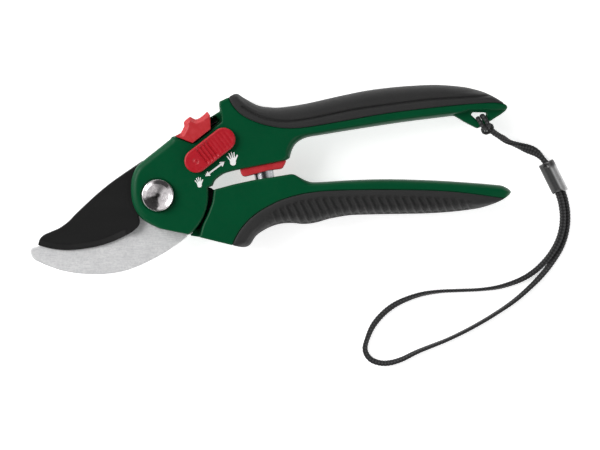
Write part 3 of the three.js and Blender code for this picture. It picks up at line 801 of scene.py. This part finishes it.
LOWER_BACK = spline([
    [-16.6, -28.8], [-13.3, -29.5], [-11, -29.5], [-9, -28.4], [-6.2, -24.4], [-1, -21.1], [4.2, -19.4],
    [9.4, -19.1], [14.6, -19.5], [19.9, -18.8], [25.1, -17.3], [30.3, -16.3], [35.6, -15.6], [46, -15.3],
    [57.9, -15.1], [67, -14.9], [77.4, -14.3], [87.8, -13.1], [93.1, -12], [98.3, -10.2], [101.9, -8.4],
])
LOWER_REAR = spline([
    [13.2, 0.5], [16, -0.7], [20, -1.2], [35.4, -0.3], [52.3, 0.1], [74.5, -0.6], [96.8, -2.2],
    [101.3, -2.8],
])
LOWER_TIP = spline([[103.5, -3.9], [104.8, -5.3], [104.2, -6.6], [102.3, -8.1]])
LOWER_TOP = joined(
    [[-24.8, -4.5], [-16.3, -2.2], [-7.4, -0.3], [1.5, 1.1], [8.8, 2.3], [10.4, 2.1]],
    LOWER_REAR, LOWER_TIP,
)
LOWER_ROUNDED = joined(LOWER_REAR[6:], LOWER_TIP)                  # where the lower bar is well rounded
TANG = [                                                           # of the cutting blade
    [-33.5, -22.6], [-26, -21], [-15.5, -18], [-13, -16], [-13, -11.5], [-15.5, -9.5], [-23.5, -5.6],
    [-26.2, -3.6], [-33.5, -3],
]


# ---------------------------------------------------------------- handles and grips
def grip_core(x, y, border, back, shrink):
    """The part of the handle that runs inside the grip: away from its outer edge and its two tips."""
    d = from_outline(x, y, joined(border, back[::-1]))
    past_back = np.where(d < 0, -from_line(x, y, back), -9) + shrink
    region = np.minimum(d, from_line(x, y, border) - 4)
    return prism(np.maximum(region, past_back), x, CORE_X)


def upper_handle():
    """The bar, its lug for the lanyard and the head, hollowed for what works inside it."""
    outline = joined(
        HEAD_BOTTOM, arc(PIVOT, HEAD_ARC_R, -51, 9, 30), UNDERSIDE, LUG, UPPER_BORDER[::-1],
        [[-22.4, 33.9], [-22.7, 32.4], [-22.4, 29.8]], on_slide(36, 13.3), on_slide(26, 14.5),
        on_slide(23.3, 15.0), HEAD_FRONT,
    )
    slot = joined(arc(PIVOT, 20.2, 13, 280, 90), arc(PIVOT, 25, 280, 373, 30))
    window = joined(
        on_slide(20.2, 17.8), on_slide(21.5, 15.5), on_slide(25.7, 8.3), on_slide(41.4, 7.9),
        [[-21.3, 27.3], [-22, 30.9], [-22.7, 32.4], [-23, 38], [-36, 36]],
    )
    lug_hole = joined(
        [87.2, 28.2], spline([[90.1, 25.6], [90.8, 25.1], [91.5, 25.4]]),
        [[94, 28.2], [93.9, 29.0], [93.3, 29.3], [88, 29.3]],
    )
    lug_side = [[79, 28.2], [79, 18], [106, 18], [106, 30.4], [86, 30.2]]

    def shape(x, y, z):
        d = from_outline(x, y, outline)
        border = from_line(x, y, UPPER_BORDER)
        front = from_line(x, y, HEAD_FRONT)
        along_bar = ramp(1.0, 0.0, 3, 8, from_line(x, y, UPPER_ROUNDED))
        radius = np.minimum(0.9 + 2.1 * ramp(1, 0, 3, 9, front) + 1.9 * along_bar, 0.35 + 0.6 * border)
        body = slab(d, z, BODY_Z, radius, radius * (1 + 0.8 * along_bar), tail_taper(x, 84, 104.6, 3.6))
        body = join(body, prism(grip_core(x, y, UPPER_BORDER, UPPER_BACK, 3.2), z, CORE_Z), 0.1)
        for cutter, levels in (
            (slot, SLOT_Z),
            (slide_box([12, 46.3], [-6.3, 6.3]), (SLOT_Z[0], HOOK_Z[1] + GAP)),        # the hook's tang
            (slide_box([20.6, 36.9], [-5.6, 6.6]), (BLADE_Z[0] - GAP, SLOT_Z[1])),     # the stop block
            (slide_box([21.5, 36.4], [-0.8, 3.8]), (SLOT_Z[1] - 1, 20)),               # the slider's stem
            (window, (BLADE_Z[0], 21)),
            (slide_box([18.6, 40.8], [8.3, 13.4]), (BLADE_Z[0], SLOT_Z[1])),           # the lock
            (slide_box([28, 41], [9.2, 11.9]), (9, SLOT_Z[1])),                        # its detent spring
            (lug_hole, (0, 22)), (lug_side, (1, CORE_Z[0])), (lug_side, (CORE_Z[1], 21)),
        ):
            body = cut(body, prism(from_outline(x, y, cutter), z, levels), 0.35)
        for radius, levels in (
            (4.3, (0, 22)), (9.3, (SLOT_Z[1] - 0.5, 15.2)), (8.3, (2, 5.8)), (7.5, (17.7, 22)),
        ):
            body = cut(body, prism(from_circle(x, y, PIVOT, radius), z, levels))
        for along in HOOK_RIVETS:
            centre = on_slide(along, 0)
            body = cut(body, prism(from_circle(x, y, centre, RIVET_RECESS), z, RIVET_RECESS_Z), 0.2)
            body = cut(body, prism(from_circle(x, y, centre, RIVET_HOLE), z, (1, 11)), 0.2)
        return cut(body, spring_bar(x, y, z, 2.3, 5, 12.3), 0.2)

    piece = skin(
        "upper_handle_shell", shape, ticks((-62, 26, 0.4), (26, 82, 0.8), (82, 104.4, 0.4)),
        ticks((-25.2, 37.4, 0.4)), plate_ticks(BODY_Z, 0.35, 0.8, 3.2), GREEN, "upper_arm",
    )
    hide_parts("upper_handle")


def lower_handle():
    outline = joined(
        LOWER_BORDER, LOWER_TOP[::-1], spline([[-25.5, -10], [-27.3, -14.9], [-29.8, -20.4], [-31, -25.3]]),
        [-22.9, -27.3],
    )
    ledge = joined(
        arc(PIVOT, HEAD_ARC_R + 0.15, -51, -47, 6), arc(PIVOT, 21.2, -46, -8, 30),
        [[-26, -14], [-28, -26], [-31, -25.2], [-34.9, -24.6]],
    )
    ledge_z = (BLADE_Z[0] - GAP / 2, SLOT_Z[1] - GAP)
    rounding_starts, rounding_full = 8, 18

    def shape(x, y, z):
        d = from_outline(x, y, outline)
        border = from_line(x, y, LOWER_BORDER)
        along_bar = ramp(1.0, 0.0, 3, 8, from_line(x, y, LOWER_ROUNDED))
        along_bar = along_bar * smoothstep(rounding_starts, rounding_full, x)
        radius = np.minimum(0.9 + 1.7 * along_bar, 0.35 + 0.6 * border)
        body = slab(d, z, BODY_Z, radius, radius * (1 + 0.8 * along_bar), tail_taper(x, 84, 106, 3.6))
        body = join(body, prism(grip_core(x, y, LOWER_BORDER, LOWER_BACK, 3.2), z, CORE_Z), 0.1)
        tang_room = prism(from_outline(x, y, TANG) - GAP, z, (BLADE_Z[0] - GAP, BLADE_Z[1] + GAP))
        hook_room = prism(from_circle(x, y, PIVOT, 29), z, (SLOT_Z[0], BLADE_Z[0] - GAP / 2))
        body = cut(cut(body, tang_room, 0.2), hook_room, 0.2)
        body = np.minimum(body, prism(from_outline(x, y, ledge), z, ledge_z))
        for centre in BLADE_RIVETS:
            body = cut(body, prism(from_circle(x, y, centre, RIVET_RECESS), z, RIVET_RECESS_Z), 0.2)
            body = cut(body, prism(from_circle(x, y, centre, RIVET_HOLE), z, (1, 16.2)), 0.2)
        return cut(body, spring_bar(x, y, z, 5.5, -10.2, 8))

    piece = skin(
        "lower_handle_shell", shape, ticks((-36.8, 26, 0.4), (26, 92, 0.8), (92, 106, 0.4)),
        ticks((-30, 3.4, 0.4)), plate_ticks(BODY_Z, 0.35, 0.8, 3.2), GREEN, "lower_arm",
    )
    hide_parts("lower_handle")


def grip_shape(border_line, back_line, detail):
    """A soft grip: broad round on its outer edge, a fine edge against the handle, hollow for the core."""
    outline = joined(border_line, back_line[::-1])

    def shape(x, y, z):
        d = from_outline(x, y, outline)
        border = from_line(x, y, border_line)
        radius = np.minimum(4.3, 0.45 + 0.75 * border)
        depth = radius * ramp(1, 1.55, 1, 5, border)
        body = slab(d, z, GRIP_Z, radius, depth, tail_taper(x, 80, 106, 3.8)) + detail(x, y, z, d, border)
        core = grip_core(x, y, border_line, back_line, 3.2 - GAP)
        return cut(body, prism(core, z, (CORE_Z[0] - GAP, CORE_Z[1] + GAP)), 0.1)

    return shape


def upper_grip():
    """A groove runs along its face."""
    groove = spline([
        [-12.6, 31.8], [-6.4, 28.1], [-0.3, 26.0], [7.0, 25.2], [14.9, 26.0], [24.1, 27.8], [36.3, 30.3],
        [48.6, 32.1], [56.2, 33.1], [67.4, 34.5], [78.5, 35.3], [89.6, 35.9], [95.2, 36.4],
    ])

    def detail(x, y, z, d, border):
        near_face = smoothstep(4.5, 7, np.abs(z - MID_Z))
        return 0.85 * np.exp(-((from_line(x, y, groove) / 0.42) ** 2)) * near_face

    piece = skin(
        "upper_grip_cover", grip_shape(UPPER_BORDER, UPPER_BACK, detail), ticks((-19.2, 103.2, 0.42)),
        ticks((21, 42.4, 0.38)), plate_ticks(GRIP_Z, 0.35, 0.8, 4.4), RUBBER, "upper_arm",
    )
    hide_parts("upper_grip")


def lower_grip():
    rib_pitch, rib_slant = 3.5, 0.52

    def detail(x, y, z, d, border):
        zone = smoothstep(2.2, 3.1, border) * smoothstep(0.2, 1.6, -d + 0.8)
        zone = zone * smoothstep(-5, 3, x) * (1 - smoothstep(84, 91, x))
        phase = ((x + rib_slant * y) / rib_pitch) % 1.0
        crest = np.maximum(1 - np.minimum(phase, 1 - phase) / 0.3, 0) ** 0.8
        near_face = smoothstep(1.0, 3.5, np.abs(z - MID_Z))
        return 0.8 * (1 - crest) * zone * near_face

    piece = skin(
        "lower_grip_cover", grip_shape(LOWER_BORDER, LOWER_BACK, detail), ticks((-17.8, 103.2, 0.38)),
        ticks((-30.4, -3.6, 0.4)), plate_ticks(GRIP_Z, 0.35, 0.8, 4.4), RUBBER, "lower_arm",
    )
    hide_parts("lower_grip")


upper_handle()
lower_handle()
upper_grip()
lower_grip()


# ---------------------------------------------------------------- blades
def drilled(body, x, y, rivets):
    """A blade with its holes for the bush and for its rivets."""
    for centre, radius in ((PIVOT, BUSH_HOLE), *((rivet, RIVET_HOLE) for rivet in rivets)):
        body = cut(body, from_circle(x, y, centre, radius), 0.1)
    return body


def cutting_blade():
    back = spline([
        [-56.2, 8.1], [-59.4, 5.9], [-64.7, 2.3], [-69.9, -1.4], [-75.1, -5.6], [-80.3, -10.3],
        [-85.6, -15.4], [-88.3, -18.2], [-92.1, -21.0], [-96, -22.75], [-98.8, -24.0], [-100.8, -25.8],
        [-101.8, -28.7],
    ])
    edge = spline([
        [-101.8, -28.7], [-95, -30.4], [-88, -30.9], [-81, -30.2], [-74.3, -28.9], [-67.7, -26.6],
        [-62, -23.8], [-59.6, -22.2], [-57.8, -20.4], [-57.2, -18.4], [-57.8, -15.9],
    ])
    sharpened = edge[:round(0.58 * len(edge))]      # from the tip, short of the heel
    outline = joined(
        edge, arc(PIVOT, 12, 230, 270, 12), [-44, -21], TANG, [-33.5, 2], arc(PIVOT, 19.6, 50, 62, 8),
        arc(PIVOT, 17.6, 63, 69, 4), arc(PIVOT, 19.6, 70, 84, 8), arc(PIVOT, 15.6, 96, 110, 6), back,
    )
    ground_width, edge_thickness = 2.6, 0.75

    def shape(x, y, z):
        d = from_outline(x, y, outline)
        body = slab(d, z, BLADE_Z, 0.15)
        slope = (BLADE_Z[1] - BLADE_Z[0] - edge_thickness) / ground_width
        rise = edge_thickness + slope * from_line(x, y, sharpened)
        body = np.maximum(body, (z - BLADE_Z[0] - rise) / math.hypot(1, slope))
        return drilled(body, x, y, BLADE_RIVETS)

    piece = skin(
        "cutting_blade_plate", shape, ticks((-102.6, -12, 0.36)), ticks((-31.8, 13.6, 0.36)),
        ticks((BLADE_Z[0] - 0.4, BLADE_Z[1] + 0.4, 0.28)), COATED, "lower_arm",
    )
    v = vertices_of(piece)
    rim = np.exp(-((from_line(v[:, 0], v[:, 1], back) / 0.45) ** 2)) * (v[:, 2] > BLADE_Z[1] - 0.5)
    paint_values(piece, "rim", rim)
    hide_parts("cutting_blade")


def counter_blade():
    outer = spline([
        [-101.2, -28.9], [-104.3, -29.9], [-105, -31.3], [-103.7, -34.4], [-100.6, -36.3], [-96, -38.2],
        [-90.7, -39.9], [-84.3, -41], [-77.6, -41.4], [-71, -41.2], [-64.6, -40.2], [-59, -38.4],
        [-54.3, -36.3], [-46.8, -32.3], [-39.6, -27.5], [-36.4, -24.9],
    ])
    inner = spline([
        [-62.2, -7], [-63.2, -11], [-66.5, -17], [-71.5, -21.9], [-78, -25.7], [-86, -27.8],
        [-94, -28.4], [-101.2, -28.9],
    ])
    tang = [(17, -6), (44.5, -6), (46, -4.5), (46, 4.5), (44.5, 6), (14, 6)]
    seen = lowered(np.column_stack([outer, np.full(len(outer), HOOK_Z[1])]))[:, :2]
    outline = joined(
        seen, arc(PIVOT, 21, -48, -14, 12), [on_slide(*p) for p in tang], arc(PIVOT, 13, 75, 172, 24),
        inner,
    )

    def shape(x, y, z):
        d = from_outline(x, y, outline)
        return drilled(slab(d, z, HOOK_Z, 0.3), x, y, [on_slide(along, 0) for along in HOOK_RIVETS])

    piece = skin(
        "counter_blade_plate", shape, ticks((-106.2, -7, 0.38)), ticks((-42.4, 26.6, 0.38)),
        ticks((HOOK_Z[0] - 0.4, HOOK_Z[1] + 0.4, 0.3)), STEEL, "upper_arm",
    )
    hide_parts("counter_blade")


cutting_blade()
counter_blade()


# ---------------------------------------------------------------- pivot
def pivot_bolt():
    head = BOLT_TOP - 2.1
    rim = joined(
        spline([[7.0, 17.9], [7.0, head + 0.6], [6.95, head + 1.5], [6.8, head + 1.95], [6.5, head + 2.1],
                [6.2, head + 1.99], [5.6, head + 1.68], [5.05, head + 1.4], [4.75, head + 1.3]], 6),
        [[4.2, head + 1.14], [3.2, head + 0.86], [2.0, head + 0.53], [1.0, head + 0.28], [0.4, head + 0.18],
         [0, head + 0.16]],
    )
    profile = [(0, 0.5), (3.6, 0.5), (4.0, 0.9), (4.0, 17.8), (7.0, 17.8), *map(tuple, rim)]
    piece = turned("pivot_bolt_head", profile, PIVOT, CHROME, "upper_arm")
    sharpen(piece)
    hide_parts("pivot_bolt")


def pivot_nut():
    def shape(x, y, z):
        px, py = x - PIVOT[0], y - PIVOT[1]
        flats = [np.abs(px * math.sin(a) + py * math.cos(a)) for a in np.radians([0, 60, 120])]
        hexagon = np.maximum.reduce(flats) - 6.5
        body = slab(hexagon, z, NUT_Z, 0.25)
        cone = (np.hypot(px, py) - 7.1 + (np.abs(z - sum(NUT_Z) / 2) - 1.2)) / math.sqrt(2)
        return cut(np.maximum(body, cone), from_circle(x, y, PIVOT, 4.25), 0.25)

    step = 0.25
    xs, ys = (ticks((c - 8.2, c + 8.2, step)) for c in PIVOT)
    piece = skin(
        "pivot_nut_hex", shape, xs, ys, ticks((-0.5, NUT_Z[1] + 0.5, step)), ZINC, "upper_arm",
    )
    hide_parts("pivot_nut")


pivot_bolt()
pivot_nut()


# ---------------------------------------------------------------- spring
def spring_seat():
    outline = [
        [-13.6, 4.6], [6.5, 8.6], [6.6, 7.6], [5.2, 5], [4.1, 4.5], [-0.3, 4.0], [-6.6, 2.4],
        [-9, 1.7], [-11.2, 1.2], [-12.3, 1.4], [-13, 2.4],
    ]

    def shape(x, y, z):
        body = slab(from_outline(x, y, outline), z, SEAT_Z, 0.55)
        body = join(body, spring_bar(x, y, z, 2.0, 3, 12), 0.2)
        return cut(body, spring_bar(x, y, z, 5.3, 1.5, 5.1), 0.2)

    step = 0.28
    # The seat's red is painted paler, as painted light against the shade it lies in.
    piece = skin(
        "spring_seat_shoe", shape, ticks((-14.4, 7.4, step)), ticks((0.4, 13.6, step)),
        ticks((SEAT_Z[0] - 0.6, SEAT_Z[1] + 0.6, step)), RED_PAINTED_LIGHTER, "upper_arm",
    )
    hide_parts("spring_seat")


def main_spring():
    """A rolled strip. Its inner end sits in the seat and its outer end on the lower handle."""
    turns, steps, strip = 2.75, 220, 0.55
    r_inner, r_outer = 2.2, 4.75
    low, high = -9.9, 4.8
    share = np.linspace(0, 1, steps + 1)
    a = 2 * np.pi * turns * share
    radius = r_inner + (r_outer - r_inner) * share
    edge = 0.12
    section = [
        (0, low + edge), (0, high - edge), (-edge, high), (-strip + edge, high),
        (-strip, high - edge), (-strip, low + edge), (-strip + edge, low), (-edge, low),
    ]
    ax = np.array([math.cos(SPRING_ANGLE), math.sin(SPRING_ANGLE), 0])
    side, up = np.array([-ax[1], ax[0], 0]), np.array([0, 0, 1])
    foot = np.array([*SPRING_FOOT, MID_Z])
    verts = []
    for k in range(steps + 1):
        for inset, along in section:
            r = radius[k] + inset
            verts.append(foot + ax * along + side * r * math.cos(a[k]) + up * r * math.sin(a[k]))
    n = len(section)
    faces = [
        (k * n + j, k * n + (j + 1) % n, (k + 1) * n + (j + 1) % n, (k + 1) * n + j)
        for k in range(steps) for j in range(n)
    ]
    faces += [tuple(range(n))[::-1], tuple(steps * n + j for j in range(n))]
    piece = mesh_object("main_spring_strip", verts, faces, SPRING_STEEL, None)
    sharpen(piece)
    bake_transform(piece)
    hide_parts("main_spring")


spring_seat()
main_spring()


# ---------------------------------------------------------------- sliders
def place_on_slide(v):
    """Turns the sliders' own along, across and z into the row frame's."""
    c, s = math.cos(SLIDE_ANGLE), math.sin(SLIDE_ANGLE)
    flat = np.column_stack([v[:, 0] * c - v[:, 1] * s, v[:, 0] * s + v[:, 1] * c]) + PIVOT
    return np.column_stack([flat, v[:, 2]])


def lock_slider():
    crest = joined(
        [39.5, 15.6],
        spline([[37.4, 15.4], [35.2, 15.4], [33.5, 15.9], [32.7, 17.1], [31.9, 18.4],
                [28.6, 18.2], [27.5, 16.7], [24.6, 15.3]]),
    )
    thumb = joined([[21.75, 15.75], [26.0, 8.6], [35.9, 8.6], [38, 11.5], [39.4, 13.8]], crest)
    layer = (BLADE_Z[0] + GAP, SLOT_Z[1] - GAP)
    chamfer = 1.9

    def shape(x, y, z):
        d = from_outline(x, y, thumb)
        body = slab(d, z, (layer[0], LOCK_Z[1]), 0.25)
        sloped = (z - LOCK_Z[1] + chamfer - from_line(x, y, crest)) / math.sqrt(2)
        body = cut(body, -sloped, 0.2)
        body = join(body, box_field(x, y, z, (19.8, 27.5), (9, 11.6), layer), 0.15)
        return join(body, box_field(x, y, z, (31, 33), (11.1, 11.6), (9.6, layer[1])), 0.1)

    step = 0.22
    # The lock's red is painted paler, as painted light on its face.
    piece = skin(
        "lock_slider_thumb", shape, ticks((19.2, 40.2, step)), ticks((8, 19, step)),
        ticks((9.2, LOCK_Z[1] + 0.5, step)), RED_PAINTED_LIGHTER, "lock", place_on_slide,
    )
    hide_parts("lock_slider")


def width_slider():
    radius, near, far, across = 5.15, 22.4, 37.5, 1.5
    grooves, deep_grooves, first, pitch = 9, 4, 25.9, 1.75
    low = SLIDE_TOP - 2.1

    def shape(x, y, z):
        along = np.clip(x, near, far)
        d = np.hypot(x - along, y - across) - radius
        body = slab(d, z, (low - 0.2, SLIDE_TOP), 0.75)
        reach = smoothstep(0.6, 2.0, -d)
        on_face = z > SLIDE_TOP - 1.2
        for i in range(grooves):
            depth = 0.75 if i < deep_grooves else 0.16
            body = body + depth * np.exp(-(((x - first - pitch * i) / 0.45) ** 2)) * reach * on_face
        ring = np.abs(from_circle(x, y, (near - 0.3, across), 1.0))
        body = body + 0.22 * np.exp(-((ring / 0.35) ** 2)) * on_face
        stem = box_field(x, y, z, (28.2, 36), (-0.4, 3.4), (BLADE_Z[1] + GAP, low + 0.5))
        body = join(body, stem, 0.1)
        return cut(body, prism(from_circle(x, y, (32.1, across), 1.3), z, (BLADE_Z[1] - 1, 18)), 0.1)

    step = 0.17
    piece = skin(
        "width_slider_cap", shape, ticks((16.8, 43.2, step)), ticks((-4.2, 7.2, step)),
        ticks((BLADE_Z[1], 17.8, 0.4), (17.8, SLIDE_TOP + 0.4, 0.2)), RED, "width_adjuster",
        place_on_slide,
    )
    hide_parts("width_slider")


lock_slider()
width_slider()


# ---------------------------------------------------------------- printed signs
def capsule(x, y, a, b, radius):
    return np.sqrt(squared_to_segment(x, y, np.array(a, float), np.array(b, float))) - radius


def hand_sign(x, y):
    """An open hand five units high, fingers up, thumb to the right."""
    palm = capsule(x, y, (-0.1, -1.7), (0.05, -0.95), 1.15)
    thumb = capsule(x, y, (0.7, -1.2), (2.05, 0.6), 0.34)
    fingers = [
        capsule(x, y, foot, tip, 0.25) for foot, tip in (
            ((-0.9, -0.6), (-1.75, 1.2)), ((-0.35, -0.2), (-0.8, 2.1)),
            ((0.2, -0.2), (0.22, 2.3)), ((0.75, -0.5), (1.15, 1.95)),
        )
    ]
    return np.minimum.reduce([palm, thumb, *fingers])


def arrow_sign(x, y):
    """A double arrow ten units long, along x."""
    shaft = capsule(x, y, (-3.4, 0), (3.4, 0), 0.4)
    heads = [from_outline(x, y, [[s * 5.3, 0], [s * 3.2, 1.3], [s * 3.2, -1.3]]) for s in (-1, 1)]
    return np.minimum.reduce([*heads, shaft])


def printed(name, sign, centre, turn, size, half_width):
    """A thin layer of ink on the front face of the head."""
    c, s = math.cos(turn), math.sin(turn)
    ink = (BODY_Z[1] - 0.05, BODY_Z[1] + 0.07)

    def place(v):
        flat = np.column_stack([v[:, 0] * c - v[:, 1] * s, v[:, 0] * s + v[:, 1] * c]) + centre
        return np.column_stack([flat, v[:, 2]])

    def shape(x, y, z):
        return prism(sign(x / size, y / size) * size, z, ink)

    across = ticks((-half_width * size, half_width * size, 0.09))
    levels = np.array([ink[0] - 0.06, ink[0] + 0.02, ink[1] - 0.02, ink[1] + 0.06])
    skin(name, shape, across, across, levels, PRINT, "upper_arm", place)


printed("sign_hand_wide", hand_sign, (-16.8, 9.1), math.radians(14), 1.12, 3.2)
printed("sign_hand_narrow", hand_sign, (-31.3, -1.2), math.radians(14), 0.85, 3.2)
printed("sign_arrow", arrow_sign, (-24.35, 4.5), math.radians(37), 1.0, 5.6)

# ---------------------------------------------------------------- small metal pieces kept from the CAD
KEPT = {
    "counter_blade_rivet_1": ZINC, "counter_blade_rivet_2": ZINC, "cutting_blade_rivet_1": ZINC,
    "cutting_blade_rivet_2": ZINC, "nut_washer": ZINC, "pivot_bush": BRONZE, "thrust_washer": BRONZE,
    "lock_detent_spring": GUNMETAL, "width_detent_spring": SPRING_STEEL, "width_screw": ZINC,
    "width_stop": GUNMETAL,
}
for node, material in KEPT.items():
    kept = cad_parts[node]
    kept.data.materials.clear()
    kept.data.materials.append(material)
    rounding = kept.modifiers.new("rounding", "BEVEL")
    rounding.width = 0.12 * MM
    rounding.segments = 2
    rounding.limit_method = "ANGLE"
    rounding.harden_normals = False


# ---------------------------------------------------------------- floor and light
def add_floor():
    half = 1500
    corners = [(-half, -half, 0), (half, -half, 0), (half, half, 0), (-half, half, 0)]
    f = Finish("floor", (250, 250, 250), 0.9, specular=0.1)
    f.bump(f.noise(3, 2), 0.02, 0.1)
    f.shader.inputs["Emission Color"].default_value = (1, 1, 1, 1)
    f.shader.inputs["Emission Strength"].default_value = 0.6
    floor = mesh_object("floor", corners, [(0, 1, 2, 3)], f.material, None)


def add_softbox(name, direction, distance, size, power):
    """A rectangular lamp that faces the pruner. distance and size are in metres."""
    data = bpy.data.lights.new(name, "AREA")
    data.shape, data.size, data.size_y, data.energy = "RECTANGLE", size[0], size[1], power
    lamp = bpy.data.objects.new(name, data)
    toward = Vector(direction).normalized()
    lamp.location = toward * distance
    lamp.visible_camera = False
    lamp.rotation_euler = toward.to_track_quat("Z", "Y").to_euler()
    bpy.context.collection.objects.link(lamp)


def add_world():
    """An even white tent with a dark opening overhead and two dark panels, which the bolt reflects."""
    world = bpy.data.worlds.new("studio")
    world.use_nodes = True
    tree = world.node_tree
    sky = tree.nodes["Background"]
    sky.inputs["Color"].default_value = (1, 1, 1, 1)
    place = tree.nodes.new("ShaderNodeTexCoord").outputs["Generated"]

    def toward(direction, low, high, near, far):
        """near, changing to far as the view turns toward direction: low and high are cosines."""
        dot = tree.nodes.new("ShaderNodeVectorMath")
        dot.operation = "DOT_PRODUCT"
        dot.inputs[1].default_value = Vector(direction).normalized()
        tree.links.new(place, dot.inputs[0])
        share = tree.nodes.new("ShaderNodeMapRange")
        share.interpolation_type = "SMOOTHSTEP"
        for key, number in (("From Min", low), ("From Max", high), ("To Min", near), ("To Max", far)):
            share.inputs[key].default_value = number
        tree.links.new(dot.outputs["Value"], share.inputs["Value"])
        return share.outputs["Result"]

    def product(a, b):
        node = tree.nodes.new("ShaderNodeMath")
        node.operation = "MULTIPLY"
        tree.links.new(a, node.inputs[0])
        tree.links.new(b, node.inputs[1])
        return node.outputs["Value"]

    opening = toward((0, 0, 1), 0.82, 0.95, 0.95, 0.04)
    behind_right = toward((0.42, 0.58, 0.7), 0.82, 0.9, 1.0, 0.06)
    low_in_front = toward((-0.3, -0.82, 0.48), 0.76, 0.92, 1.05, 0.08)
    tree.links.new(product(product(opening, behind_right), low_in_front), sky.inputs["Strength"])
    bpy.context.scene.world = world


add_floor()
add_world()
add_softbox("key", (-0.75, 0.3, 0.62), 1.2, (0.7, 0.6), 9)
add_softbox("fill", (0.6, -0.6, 0.55), 1.4, (0.9, 0.8), 2.5)
bpy.context.scene.view_settings.view_transform = "Standard"
